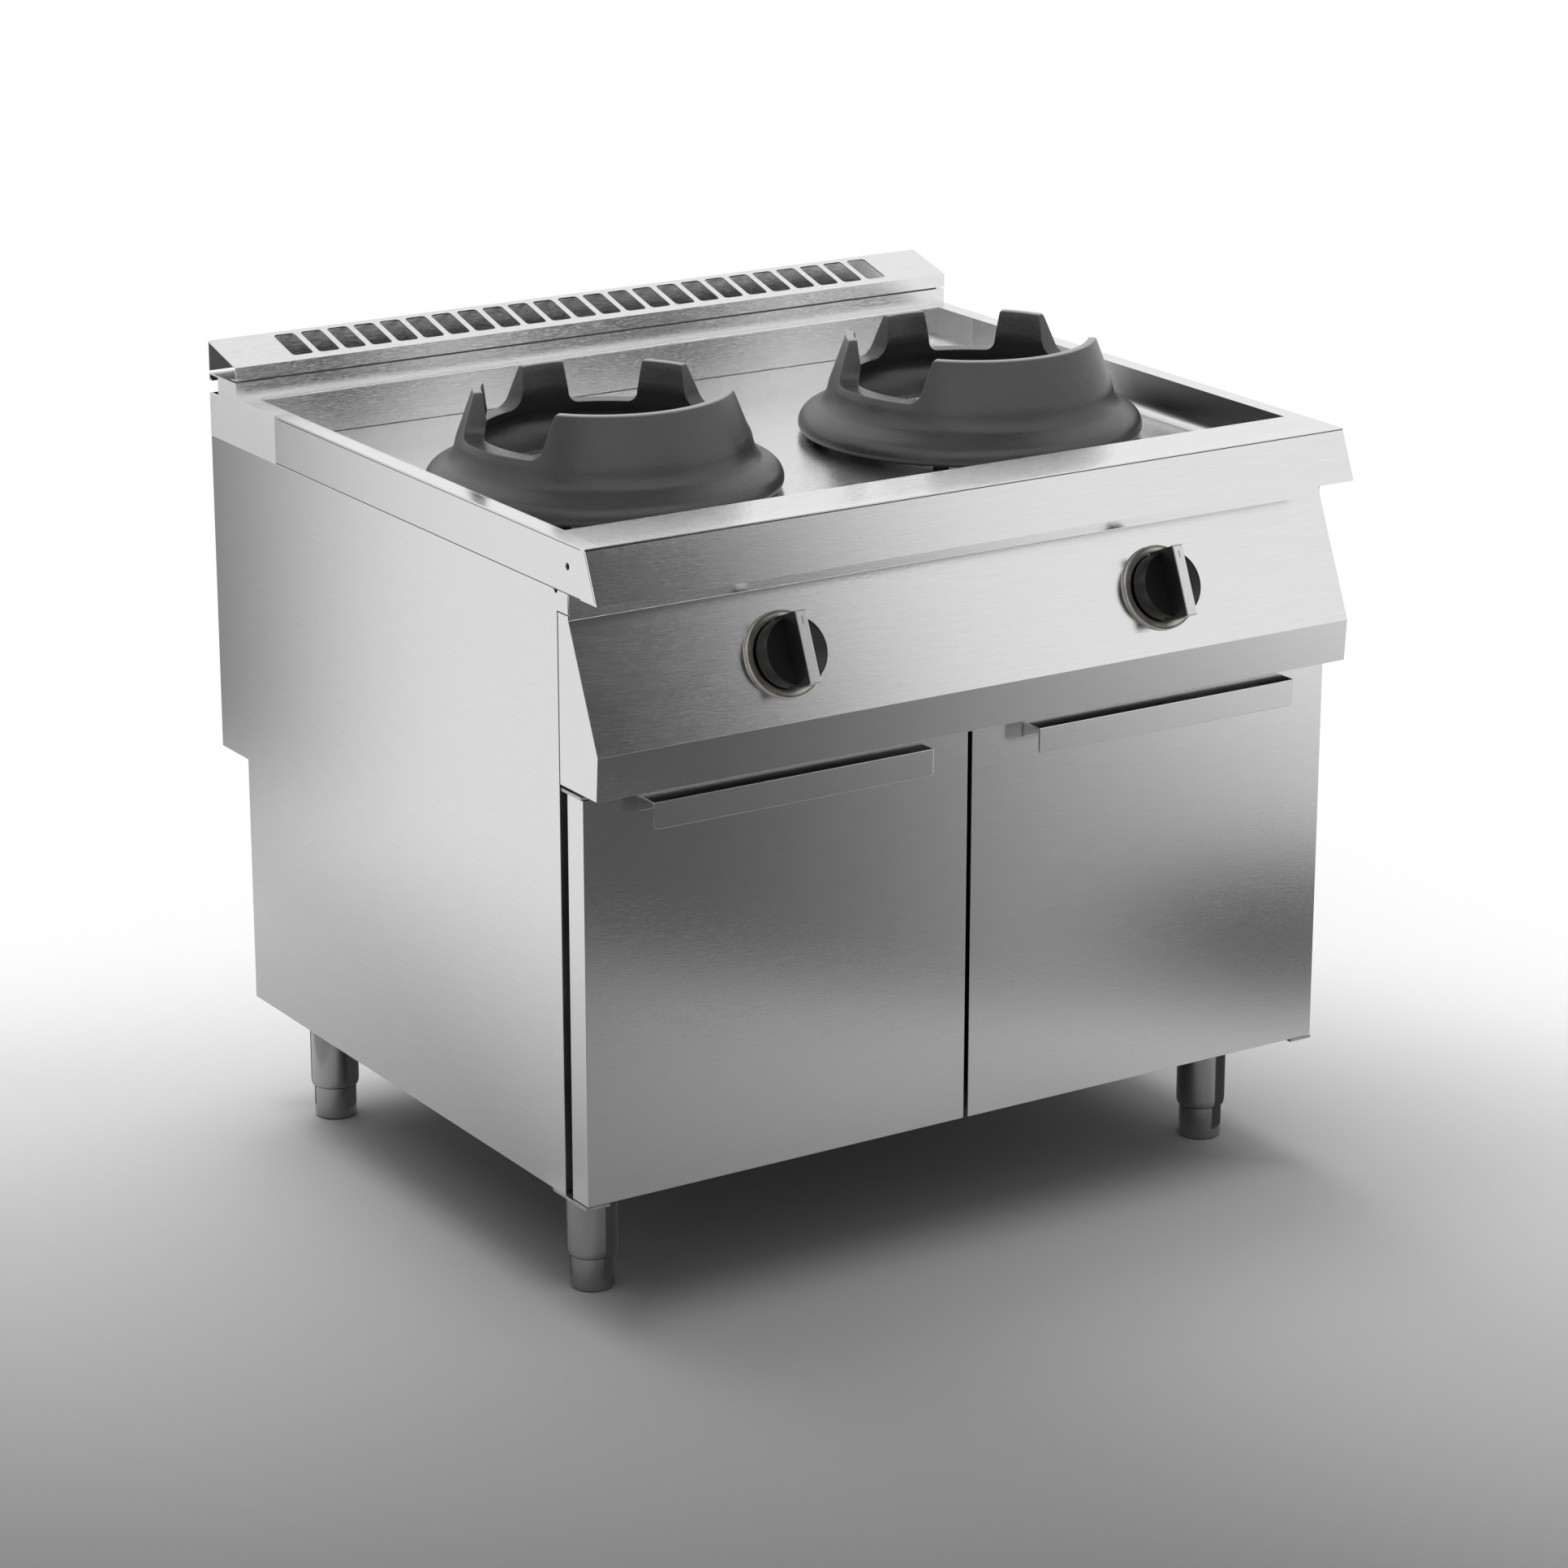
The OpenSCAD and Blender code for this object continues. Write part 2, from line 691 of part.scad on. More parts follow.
module valve() {
    difference() {
        union() {
            translate([0, 0, valve_z - valve_l]) cylinder(d = 26, h = valve_l - 6);
            translate([0, 0, valve_z - 8]) cylinder(d = 34, h = 8, $fn = 6);
            translate([0, 0, valve_z - valve_l + 16]) rotate([-90, 0, 0]) cylinder(d = 16, h = 30);
        }
        translate([0, 0, valve_z - 22]) cylinder(d = stem_d + 2 * stem_gap, h = 40);
        translate([0, 0, valve_z - 7]) cylinder(d = stem_d + 4 + 2 * stem_gap, h = 10);
        translate([0, 0, -rail_drop]) rotate([0, 90, 0])
            cylinder(d = rail_d + 0.4, h = 60, center = true);
    }
}

module gas_rail() color(brass_tone) {
    z1 = step_h - inlet_neck - inlet_l;
    neck_z = z1 + inlet_l - eps;
    supply_z = step_h + 14;
    difference() {
        union() {
            translate([-knob_x - 60, rail_y, rail_z]) rotate([0, 90, 0])
                cylinder(d = rail_d, h = knob_x + 60 + supply_x);
            translate([supply_x, rail_y, rail_z]) sphere(d = rail_d);
            translate([supply_x, rail_y, rail_z]) rotate([-90, 0, 0])
                cylinder(d = rail_d, h = supply_y - rail_y);
            translate([supply_x, supply_y, rail_z]) sphere(d = rail_d);
            translate([supply_x, supply_y, supply_z]) cylinder(d = rail_d, h = rail_z - supply_z);
            translate([supply_x, supply_y, z1]) cylinder(d = inlet_d, h = inlet_l);
            translate([supply_x, supply_y, neck_z])
                cylinder(d = inlet_d - 2, h = supply_z - neck_z + eps);
        }
        translate([supply_x, supply_y, z1 - 1]) cylinder(d = inlet_d - 6, h = 60);
    }
}

// Burners under the well, on one beam across the chassis

module burner_beam() color(dark_steel) {
    x1 = hw - sheet_t;
    along_x(-x1, x1) translate([burner_y, 0])
        polygon(folded([[-beam_w / 2, beam_z - beam_h], [-beam_w / 2, beam_z],
            [beam_w / 2, beam_z], [beam_w / 2, beam_z - beam_h]], -2));
    for (x = [-x1, x1 - 2])
        block([x, burner_y - 40, beam_z - beam_h - 20], [x + 2, burner_y + 40, beam_z - 2]);
}

module burner(side) {
    r = crown_d / 2;
    color(cast_grey) translate([side * burner_x, burner_y, beam_z]) {
        difference() {
            union() {
                rotate_extrude($fn = 96)
                    polygon([[0, 6], [22, 6], [22, 0], [32, 0], [34, 8], [r - 14, 22], [r - 4, 26],
                        [r, 32], [r, crown_h - 4], [r - 4, crown_h], [r - 24, crown_h],
                        [r - 24, 34], [24, 26], [24, crown_h + 2], [20, crown_h + 6],
                        [0, crown_h + 6]]);
                translate([0, -20, mixer_rise]) rotate([90, 0, 0]) cylinder(d = mixer_d, h = r + 40);
                translate([0, -60 - r, mixer_rise]) rotate([90, 0, 0])
                    cylinder(d1 = mixer_d, d2 = mixer_d + 12, h = 18);
                translate([-7, -r - 97, mixer_rise - mixer_d / 2 - 4]) cube([14, 28, 4]);
                translate([-12, -r - 97, mixer_rise - mixer_d / 2 - 4]) cube([24, 3, 33]);
            }
            for (i = [0 : port_n - 1])
                rotate([0, 0, (i + 0.5) * 360 / port_n]) translate([r - 30, -1.5, crown_h - 12])
                    cube([40, 3, 13]);
            translate([0, -24, mixer_rise]) rotate([90, 0, 0]) cylinder(d = mixer_d - 8, h = r + 60);
            translate([0, -r - 90, mixer_rise]) rotate([90, 0, 0])
                cylinder(d = injector_d + 2 * seat, h = 10);
        }
    }
}

// Pipe from a tap to the injector, held in the bracket at the mixing tube's mouth
module burner_pipe(side) {
    tap_y = valve_l - 16 + valve_drop;
    nozzle_y = burner_y - crown_d / 2 - 92;
    z1 = beam_z + mixer_rise;
    y0 = knob_y + tap_y * cos(lean) + 30.4 * sin(lean);
    z0 = knob_z - tap_y * sin(lean) + 30.4 * cos(lean);
    y1 = y0 + (z1 - z0) * tan(lean);
    color(brass_tone) translate([side * burner_x, 0, 0]) {
        translate([0, y0, z0]) rotate([-lean, 0, 0]) cylinder(d = pipe_d, h = (z1 - z0) / cos(lean));
        translate([0, y1, z1]) sphere(d = pipe_d + 4);
        translate([0, y1, z1]) rotate([-90, 0, 0]) cylinder(d = pipe_d, h = nozzle_y - 13 - y1);
        translate([0, nozzle_y, z1]) rotate([90, 0, 0]) cylinder(d = injector_d, h = 14, $fn = 6);
        translate([0, nozzle_y + 12, z1]) rotate([90, 0, 0]) cylinder(d = 8, h = 20);
    }
}

// Pilot light and flame sensor on a bracket beside the crown
module pilot(side) {
    r = crown_d / 2;
    color(brass_tone) translate([side * burner_x, burner_y, beam_z])
        mirror([side < 0 ? 0 : 1, 0, 0]) {
            block([r + seat, -9, 34], [r + 22, 9, 36]);
            translate([r + 12, -4, 20]) cylinder(d = 7, h = crown_h - 18);
            translate([r + 12, 5, 14]) cylinder(d = 3.4, h = crown_h - 6);
        }
}

// Hinge plates, pins and magnets on the cabinet

module hinge_plates() color(dark_steel) both_sides() {
    x0 = -hw + sheet_t;
    x1 = x0 + hinge_w;
    difference() {
        union() {
            block([x0, door_y0 + 1, lower_plate_z], [x1, side_y + 30, lower_plate_z + hinge_t]);
            block([x0, side_y, lower_plate_z], [x1, side_y + 30, base_h]);
        }
        translate([-pin_x, pin_y, lower_plate_z - 1]) cylinder(d = pin_d + 0.1, h = 10);
    }
    difference() {
        block([x0, door_y0 + 1, upper_plate_z], [x1, side_y, upper_plate_z + hinge_t]);
        translate([-pin_x, pin_y, upper_plate_z - 1]) cylinder(d = pin_d + 0.1, h = 10);
    }
}

module hinge_pins() color(dark_steel) both_sides() {
    for (z = [lower_plate_z, upper_plate_z + hinge_t - pin_l])
        translate([-pin_x, pin_y, z]) cylinder(d = pin_d, h = pin_l);
}

module door_magnets() color(black) both_sides() {
    block([magnet_x, door_y1 + sheet_t + seat, magnet_z],
        [magnet_x + magnet_l, side_y, magnet_z + magnet_h]);
}

// Doors

module door_skin(side) color(steel) {
    x0 = side < 0 ? -door_x1 : door_x0;
    x1 = side < 0 ? -door_x0 : door_x1;
    difference() {
        block([x0, door_y0, door_z0], [x1, door_y1, door_z1]);
        block([x0 + sheet_t, door_y0 + sheet_t, door_z0 + sheet_t],
            [x1 - sheet_t, door_y1 + 1, door_z1 - sheet_t]);
        translate([side * pin_x, pin_y, door_z0 - 1])
            cylinder(d = pin_d + 4, h = door_z1 - door_z0 + 2);
    }
}

module door_liner(side) color(steel) {
    g = sheet_t + seat;
    x0 = (side < 0 ? -door_x1 : door_x0) + g;
    x1 = (side < 0 ? -door_x0 : door_x1) - g;
    difference() {
        block([x0, door_y1 - 14, door_z0 + g], [x1, door_y1, door_z1 - g]);
        block([x0 + sheet_t, door_y1 - 15, door_z0 + g + sheet_t],
            [x1 - sheet_t, door_y1 - sheet_t, door_z1 - g - sheet_t]);
        for (z = [door_z0, door_z1 - 28])
            block([side * pin_x - 14, door_y0, z - 1],
                [side * pin_x + 14, door_y1 - sheet_t - 0.1, z + 29]);
    }
}

module door_handle(side) color(steel) {
    x = side * (door_x0 + door_x1) / 2;
    z1 = door_z1 - handle_down;
    translate([x, 0, 0]) {
        along_x(-handle_w / 2, handle_w / 2)
            polygon(folded([[door_y0 - handle_out, z1 - handle_t], [door_y0 - handle_out, z1],
                [door_y0, z1], [door_y0, z1 - 18]], -handle_t));
        along_y(door_y0 - handle_out, door_y0 - handle_out + handle_t)
            polygon(concat([[-handle_w / 2, z1 - eps]],
                arc([-handle_w / 2 + handle_r, z1 - handle_drop + handle_r], handle_r, 180, 270, 5),
                arc([handle_w / 2 - handle_r, z1 - handle_drop + handle_r], handle_r, 270, 360, 5),
                [[handle_w / 2, z1 - eps]]));
    }
}

module door_bushes(side) color(dark_steel) {
    for (z = [door_z0 + sheet_t + 0.2, door_z1 - sheet_t - bush_l - 0.2])
        translate([side * pin_x, pin_y, z]) difference() {
            translate([-9, door_y0 + sheet_t - pin_y, 0])
                cube([18, door_t - 2 * sheet_t - 0.2, bush_l]);
            translate([0, 0, -1]) cylinder(d = pin_d + 2 * pin_gap, h = bush_l + 2);
        }
}

module door_keeper(side) color(dark_steel) {
    x0 = side < 0 ? -magnet_x - magnet_l : magnet_x;
    block([x0, door_y1, magnet_z - 1],
        [x0 + magnet_l, door_y1 + sheet_t, magnet_z + magnet_h - 1]);
}

// Legs and feet

module each_leg() {
    for (x = [-leg_x, leg_x], y = [leg_y0, leg_y1]) translate([x, y, 0]) children();
}

module leg_tubes() color(steel) each_leg() {
    r = leg_d / 2;
    ri = foot_d / 2 + foot_gap;
    difference() {
        rotate_extrude($fn = 72)
            polygon(concat([[ri, base_h], [ri, foot_h + 3], [ri + 1.2, foot_h]],
                arc([r - 2.5, foot_h + 2.5], 2.5, 270, 360, 5), [[r, base_h]]));
        translate([0, 0, base_h]) cylinder(d = leg_d + 2, h = 5);
    }
    translate([0, 0, base_h - nut_drop]) tube(foot_d + 2 * foot_gap + 1, foot_stem_d + 1, 12);
}

module leg_flanges() color(dark_steel) each_leg() {
    difference() {
        translate([0, 0, base_h + sheet_t]) linear_extrude(height = 3) soft_rect(84, 84, 8);
        translate([0, 0, base_h]) cylinder(d = foot_stem_d + 4, h = 20);
    }
}

module foot() {
    r = foot_d / 2;
    rotate_extrude($fn = 72)
        polygon(concat([[0, 0]], [[r - 2, 0], [r, 2], [r, foot_h + 20], [r - 2, foot_h + 22],
            [foot_stem_d / 2, foot_h + 22], [foot_stem_d / 2, base_h - 26], [0, base_h - 26]]));
}

// Wok rings: a cast funnel on a flared base, cut into prongs and a shield

function ring_section() =
    let(r_base = ring_d / 2, r_wall = ring_wall_d / 2, r_top = ring_top_d / 2,
        r_bell = r_wall - 5, brim_z = air_gap + 10, bell_w = r_base - r_bell,
        bell_h = flare_h - brim_z, wall_z = flare_h + 16,
        bell = [for (a = [0 : 8 : 72]) [r_bell + bell_w * cos(a), brim_z + bell_h * sin(a)]],
        inner = [for (a = [80 : -10 : 0])
            [r_bell + (bell_w - ring_t) * cos(a), brim_z + (bell_h - ring_t) * sin(a)]])
    concat([[r_base - 9.5, air_gap], [r_base - 4.5, air_gap + 1.5], [r_base - 1, air_gap + 5.5]],
        bell, bend(last(bell), [r_wall + 2, flare_h + 3], [r_wall - 1, wall_z], 5),
        [[r_top + 0.8, ring_h - 2], [r_top - 0.8, ring_h]],
        [[r_top - 10, ring_h - 2.5], [r_top - 9, ring_h - 32]],
        bend([r_top - 7.5, ring_h - 38], [r_top + 3, gap_floor_h + 2],
            [r_wall - ring_t - 8, flare_h + 6], 5),
        inner);

// Outline of one slot: round lower corners, sides that widen upwards by 2 mm
function gap_outline(half_w) = concat(
    [[-half_w - 2, ring_h + 20]],
    arc([-half_w + gap_r, gap_floor_h + gap_r], gap_r, 180, 270, 8),
    arc([half_w - gap_r, gap_floor_h + gap_r], gap_r, 270, 360, 8),
    [[half_w + 2, ring_h + 20]]);

module ring_gap(middle, angle) {
    half_w = ring_top_d / 2 * sin(angle / 2) - 1.5;
    rotate([0, 0, middle]) rotate([90, 0, 90]) linear_extrude(height = ring_d)
        polygon(gap_outline(half_w));
}

module wok_ring() color(cast_grey) {
    rear_gap = 60 - prong_a;
    side_gap = 120 - shield_a / 2 - prong_a / 2;
    translate([0, burner_y, floor_z]) {
        difference() {
            rotate_extrude($fn = 144) polygon(ring_section());
            ring_gap(60, rear_gap);
            ring_gap(120, rear_gap);
            ring_gap(30 - prong_a / 2 - side_gap / 2, side_gap);
            ring_gap(150 + prong_a / 2 + side_gap / 2, side_gap);
        }
        for (a = [45 : 90 : 315]) rotate([0, 0, a])
            translate([ring_wall_d / 2 + 6, -pad_w / 2, 0]) cube([pad_w, pad_w, air_gap + 24]);
    }
}

worktop();
upstand();
flue_cover();
cover_spacer();
flue_duct();
side_panel(-1);  // side_panel_left
side_panel(1);  // side_panel_right
back_panel();
base_shelf();
front_frame();
heat_shield();
control_panel();
color(bezel_tone) at_knob(-1) bezel();  // bezel_left
color(bezel_tone) at_knob(1) bezel();  // bezel_right
leg_tubes();
leg_flanges();
gas_rail();
color(brass_tone) at_knob(-1) valve();  // gas_valve_left
color(brass_tone) at_knob(1) valve();  // gas_valve_right
burner_beam();
burner(-1);  // burner_left
burner(1);  // burner_right
burner_pipe(-1);  // burner_pipe_left
burner_pipe(1);  // burner_pipe_right
pilot(-1);  // pilot_left
pilot(1);  // pilot_right
hinge_plates();
hinge_pins();
door_magnets();
color(dark_steel) at_knob(-1) collar();  // collar_left
color(steel) at_knob(-1) stem();  // stem_left
color(black) at_knob(-1) knob_body();  // knob_left
color(steel) at_knob(-1) knob_insert();  // knob_insert_left
color(dark_steel) at_knob(1) collar();  // collar_right
color(steel) at_knob(1) stem();  // stem_right
color(black) at_knob(1) knob_body();  // knob_right
color(steel) at_knob(1) knob_insert();  // knob_insert_right
door_skin(-1);  // door_skin_left
door_liner(-1);  // door_liner_left
door_handle(-1);  // door_handle_left
door_bushes(-1);  // door_bushes_left
door_keeper(-1);  // door_keeper_left
door_skin(1);  // door_skin_right
door_liner(1);  // door_liner_right
door_handle(1);  // door_handle_right
door_bushes(1);  // door_bushes_right
door_keeper(1);  // door_keeper_right
translate([-burner_x, 0, 0]) wok_ring();  // wok_ring_left
translate([burner_x, 0, 0]) wok_ring();  // wok_ring_right
color(steel) translate([-leg_x, leg_y0, 0]) foot();  // foot_front_left
color(steel) translate([leg_x, leg_y0, 0]) foot();  // foot_front_right
color(steel) translate([-leg_x, leg_y1, 0]) foot();  // foot_rear_left
color(steel) translate([leg_x, leg_y1, 0]) foot();  // foot_rear_right
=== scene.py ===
import math

import bmesh
import bpy
import numpy as np
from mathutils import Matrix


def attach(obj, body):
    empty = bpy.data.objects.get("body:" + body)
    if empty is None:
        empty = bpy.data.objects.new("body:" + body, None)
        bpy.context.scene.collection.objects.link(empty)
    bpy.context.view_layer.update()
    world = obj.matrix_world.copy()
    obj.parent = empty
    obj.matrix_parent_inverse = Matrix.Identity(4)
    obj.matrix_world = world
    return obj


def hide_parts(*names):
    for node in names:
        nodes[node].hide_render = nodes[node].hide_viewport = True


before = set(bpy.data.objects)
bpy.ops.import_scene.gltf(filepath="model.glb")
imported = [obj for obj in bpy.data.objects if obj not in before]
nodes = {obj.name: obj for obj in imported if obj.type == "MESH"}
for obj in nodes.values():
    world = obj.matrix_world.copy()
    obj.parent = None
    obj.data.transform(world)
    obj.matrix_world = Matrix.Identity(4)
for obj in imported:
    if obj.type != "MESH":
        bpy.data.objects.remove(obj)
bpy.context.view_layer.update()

# Camera: it stands to the left in front of the range, at about head height, and looks down on
# the worktop through a long lens, so that the upright edges stay nearly parallel.
camera_data = bpy.data.cameras.new("camera")
camera_data.lens = 112.13
camera_data.sensor_width = 36.0
camera_turn = math.radians(-32.518)
camera_drop = math.radians(17.706)
camera = bpy.data.objects.new("camera", camera_data)
camera.location = (-2.9561, -4.6468, 2.1991)
camera.rotation_euler = (math.pi / 2 - camera_drop, 0.0, camera_turn)
bpy.context.scene.collection.objects.link(camera)
bpy.context.scene.camera = camera
bpy.context.scene.view_settings.view_transform = "Standard"


# Studio floor: a smooth painted floor, white behind the range and grey towards the camera. Its
# darker part in front, out of the picture, is there to be mirrored in the doors.
class Signal:
    """One socket of a finish, on which sums are written as sums and become Math nodes."""

    def __init__(self, tree, socket=None):
        self.tree = tree
        self.socket = socket

    def add(self, kind, settings=None, sockets=None, output=0):
        """Adds a node of a kind, with its settings first and then its sockets."""
        node = self.tree.nodes.new(kind)
        for name, value in (settings or {}).items():
            setattr(node, name, value)
        for name, value in (sockets or {}).items():
            if isinstance(value, Signal):
                self.tree.links.new(value.socket, node.inputs[name])
            else:
                node.inputs[name].default_value = value
        return Signal(self.tree, node.outputs[output])

    def math(self, operation, first, second=0.0):
        """Adds one Math node on two signals or numbers."""
        return self.add("ShaderNodeMath", {"operation": operation}, {0: first, 1: second})

    def __add__(self, other):
        return self.math("ADD", self, other)

    def __radd__(self, other):
        return self.math("ADD", other, self)

    def __sub__(self, other):
        return self.math("SUBTRACT", self, other)

    def __rsub__(self, other):
        return self.math("SUBTRACT", other, self)

    def __mul__(self, other):
        return self.math("MULTIPLY", self, other)

    def __rmul__(self, other):
        return self.math("MULTIPLY", other, self)

    def between(self, low, high, to_low=0.0, to_high=1.0):
        """Rises smoothly from to_low at low to to_high at high."""
        sockets = {"Value": self, "From Min": low, "From Max": high,
                   "To Min": to_low, "To Max": to_high}
        return self.add("ShaderNodeMapRange", {"interpolation_type": "SMOOTHSTEP"}, sockets)

    def mixed(self, first, second):
        """Goes from the first colour to the second as this signal goes from 0 to 1."""
        return self.add("ShaderNodeMix", {"data_type": "RGBA"}, {0: self, 6: first, 7: second}, 2)

    def part(self, axis):
        """The x, y or z of a place."""
        return self.add("ShaderNodeSeparateXYZ", None, {0: self}, "xyz".index(axis))


def new_finish(name):
    """An empty material: its signal start, its output node and the object's own places."""
    material = bpy.data.materials.new(name)
    material.use_nodes = True
    material.node_tree.nodes.clear()
    start = Signal(material.node_tree)
    output = material.node_tree.nodes.new("ShaderNodeOutputMaterial")
    place = start.add("ShaderNodeTexCoord", output=3)
    return material, start, output, place


def grey(level):
    """A grey of one level, as a colour."""
    return (level, level, level, 1.0)


def floor_paint():
    """Matt paint, grey in front and glowing white behind. Only mirrors see it dark in front."""
    material, start, output, place = new_finish("studio_floor")
    x, y = place.part("x"), place.part("y")
    away_x, away_y = 0.5375, 0.8432
    depth = x * away_x + y * away_y
    across = x * away_y - y * away_x
    seen = start.add("ShaderNodeLightPath", output="Is Camera Ray")
    # Inside the picture: paler with depth, and a little paler in front on the right, which is
    # painted light that lifts the range's shade there.
    in_view = start.math("MAXIMUM", start.math("MINIMUM", depth * 0.367 + 0.75, 1.0), 0.25)
    painted_light_lift = x.between(-0.4, 0.3) * y.between(-0.9, -0.2, 0.35, 0.0) + 1.0
    # Past the picture's lower and right edges: pale for a camera, and darker in a mirror.
    in_front = (x + y * 0.6 + 0.96).between(0.25, 1.8, 0.13, 0.97)
    edge = start.math("MAXIMUM", -1.16 - depth, across - depth * 0.147 - 0.92)
    pale = edge.between(0.1, 1.6, 0.3, 0.9)
    share = edge.between(0.02, 0.2)
    tone = in_view * painted_light_lift * (1.0 - share) + (pale * seen + in_front * (1.0 - seen)) * share
    # A painted shadow on the right that no camera sees, only the mirrors, and painted shade under
    # the range.
    shadow_patch_x, shadow_patch_y = (depth + 0.3) * 2.6, (across - 1.42) * 2.4
    painted_shadow_patch = start.math("SQRT", shadow_patch_x * shadow_patch_x + shadow_patch_y * shadow_patch_y).between(0.3, 1.25, 0.25, 1.0)
    painted_shadow_patch = painted_shadow_patch + seen * (1.0 - painted_shadow_patch)
    past_side, past_front = start.math("ABSOLUTE", x) - 0.5, start.math("ABSOLUTE", y) - 0.45
    outside = start.math("MAXIMUM", past_side, past_front)
    # Painted shade: the floor under the range is painted half as light.
    under = outside.between(-0.16, 0.0, 0.5, 1.0)
    colour = (tone * painted_shadow_patch * under).mixed(grey(0.0), grey(1.0))
    paint = start.add("ShaderNodeBsdfDiffuse", None, {"Color": colour})
    # Behind the range and far to its right the floor glows like the white room.
    glow = start.add("ShaderNodeEmission", None, {"Color": grey(1.0), "Strength": 1.0})
    behind = outside.between(0.05, 0.9) * depth.between(-0.35, 0.5)
    white = start.math("MAXIMUM", behind, x.between(1.2, 2.2))
    whole = start.add("ShaderNodeMixShader", None, {0: white, 1: paint, 2: glow})
    material.node_tree.links.new(whole.socket, output.inputs["Surface"])
    return material


floor_half = 60.0
floor_mesh = bpy.data.meshes.new("studio_floor")
corners = [(-1, -1), (1, -1), (1, 1), (-1, 1)]
floor_points = [(x * floor_half, y * floor_half, 0.0) for x, y in corners]
floor_mesh.from_pydata(floor_points, [], [(0, 1, 2, 3)])
floor = bpy.data.objects.new("studio_floor", floor_mesh)
floor_mesh.materials.append(floor_paint())
bpy.context.scene.collection.objects.link(floor)


# Studio cards, seen only in the metal. A tall bent one in front darkens the left ends of lip and
# panel, a low one darkens the rear of the side, a dark one hangs overhead, and a white one above
# the lip lights the rear wall of the well.
def card_from(name, points, faces, tone_of):
    """A card of quads whose glow comes from tone_of, and that only mirrors can see."""
    mesh = bpy.data.meshes.new(name)
    mesh.from_pydata(points, [], faces)
    material, start, output, place = new_finish(name)
    tone = tone_of(start, place)
    glow = start.add("ShaderNodeEmission", None, {"Color": grey(1.0), "Strength": tone})
    material.node_tree.links.new(glow.socket, output.inputs["Surface"])
    mesh.materials.append(material)
    card = bpy.data.objects.new(name, mesh)
    bpy.context.scene.collection.objects.link(card)
    card.visible_camera = False
    card.visible_diffuse = False
    card.visible_shadow = False


def bent_wall(radius, low, high, first, last, steps):
    """A wall on a circle: points (radius sin a, -radius cos a, z) from low to high, and quads."""
    a = np.radians(np.linspace(first, last, steps + 1))[:, None]
    z = np.array([low, high])[None, :]
    x, y = radius * np.sin(a) + 0 * z, -radius * np.cos(a) + 0 * z
    foot = np.arange(steps) * 2
    quads = np.stack([foot, foot + 2, foot + 3, foot + 1], -1)
    return np.stack([x, y, z + 0 * a], -1).reshape(-1, 3), quads


front_first, front_last, front_dark = -75.0, 33.6, 0.045


def front_tone(start, place):
    """Dark in the middle, and paler at both ends and near the floor."""
    turn = start.math("ARCTAN2", place.part("x"), 0.0 - place.part("y")) * (180 / math.pi)
    right = turn.between(front_last - 5.0, front_last, front_dark, 1.0)
    left = turn.between(-14.0, 12.0, 0.3, front_dark)
    low = place.part("z").between(2.3, 2.8, 0.72, 0.0)
    return start.math("MAXIMUM", start.math("MAXIMUM", right, left), low)


front_points, front_quads = bent_wall(6.8, 0.0, 5.3, front_first, front_last, 48)
card_from("front_card", front_points.tolist(), front_quads.tolist(), front_tone)


def side_tone(start, place):
    """Darker towards the rear, and darker where the card lies on the floor beside the range."""
    x, y = place.part("x"), place.part("y")
    across = start.math("MINIMUM", -0.461 - x * 1.15, 0.93)
    along = (y * 0.33 + 0.3) * x.between(-0.96, -0.86)
    return start.math("MAXIMUM", across, along) * y.between(1.15, 2.15, 1.0, 0.2)


side_rows = [(-0.62, 0.004), (-1.2, 0.004), (-1.2, 0.75)]
side_points = [(x, y, z) for x, z in side_rows for y in (0.0, 2.7)]
card_from("side_card", side_points, [(0, 1, 3, 2), (2, 3, 5, 4)], side_tone)
well_y, well_low, well_high = -0.62, 1.05, 1.9
well_points = [(-1.0, well_y, well_low), (1.3, well_y, well_low)]
well_points += [(1.3, well_y, well_high), (-1.0, well_y, well_high)]
card_from("well_card", well_points, [(0, 1, 2, 3)], lambda start, place: 1.15)


def ceiling_tone(start, place):
    """Dark over the range and white towards the rim."""
    x, y = start.math("ABSOLUTE", place.part("x")), start.math("ABSOLUTE", place.part("y"))
    return start.math("MAXIMUM", x, y).between(1.6, 3.0, 0.15, 1.0)


ceiling, ceiling_z = 3.0, 5.0
ceiling_points = [(x * ceiling, y * ceiling, ceiling_z) for x, y in corners]
card_from("ceiling_card", ceiling_points, [(0, 1, 2, 3)], ceiling_tone)


# Leg cards: a dark card stands bent round the right and the back of each leg, only to be mirrored,
# and gives the round legs their dark right quarter and dark left edge.
leg_places = [(x, y) for x in (-0.425, 0.425) for y in (-0.27764, 0.34186)]
leg_wall, leg_quads = bent_wall(0.045, 0.001, 0.147, 14.0, 222.0, 8)
leg_walls = np.concatenate([leg_wall + (x, y, 0.0) for x, y in leg_places])
leg_quads = np.concatenate([leg_quads + len(leg_wall) * leg for leg in range(len(leg_places))])
card_from("leg_cards", leg_walls.tolist(), leg_quads.tolist(), lambda start, place: 0.07)


# Lamps: one broad soft box above and behind the range, and a white room all round, which gives
# less light than it shows, so that the space under the range stays dark.
def soft_box(name, place, aim, size, power):
    """A flat lamp that faces the point it is aimed at and is not itself mirrored."""
    lamp = bpy.data.lights.new(name, "AREA")
    lamp.shape = "RECTANGLE"
    lamp.size, lamp.size_y = size
    lamp.energy = power
    box = bpy.data.objects.new(name, lamp)
    way = np.array(aim) - np.array(place)
    turn = math.atan2(way[1], way[0]) - math.pi / 2
    box.location = place
    rise = math.atan2(way[2], math.hypot(way[0], way[1]))
    box.rotation_euler = (math.pi / 2 + rise, 0.0, turn)
    box.visible_glossy = False
    bpy.context.scene.collection.objects.link(box)


soft_box("overhead_lamp", (-0.2, 2.0, 4.6), (0.0, 0.0, 0.5), (4.0, 4.0), 126.0)

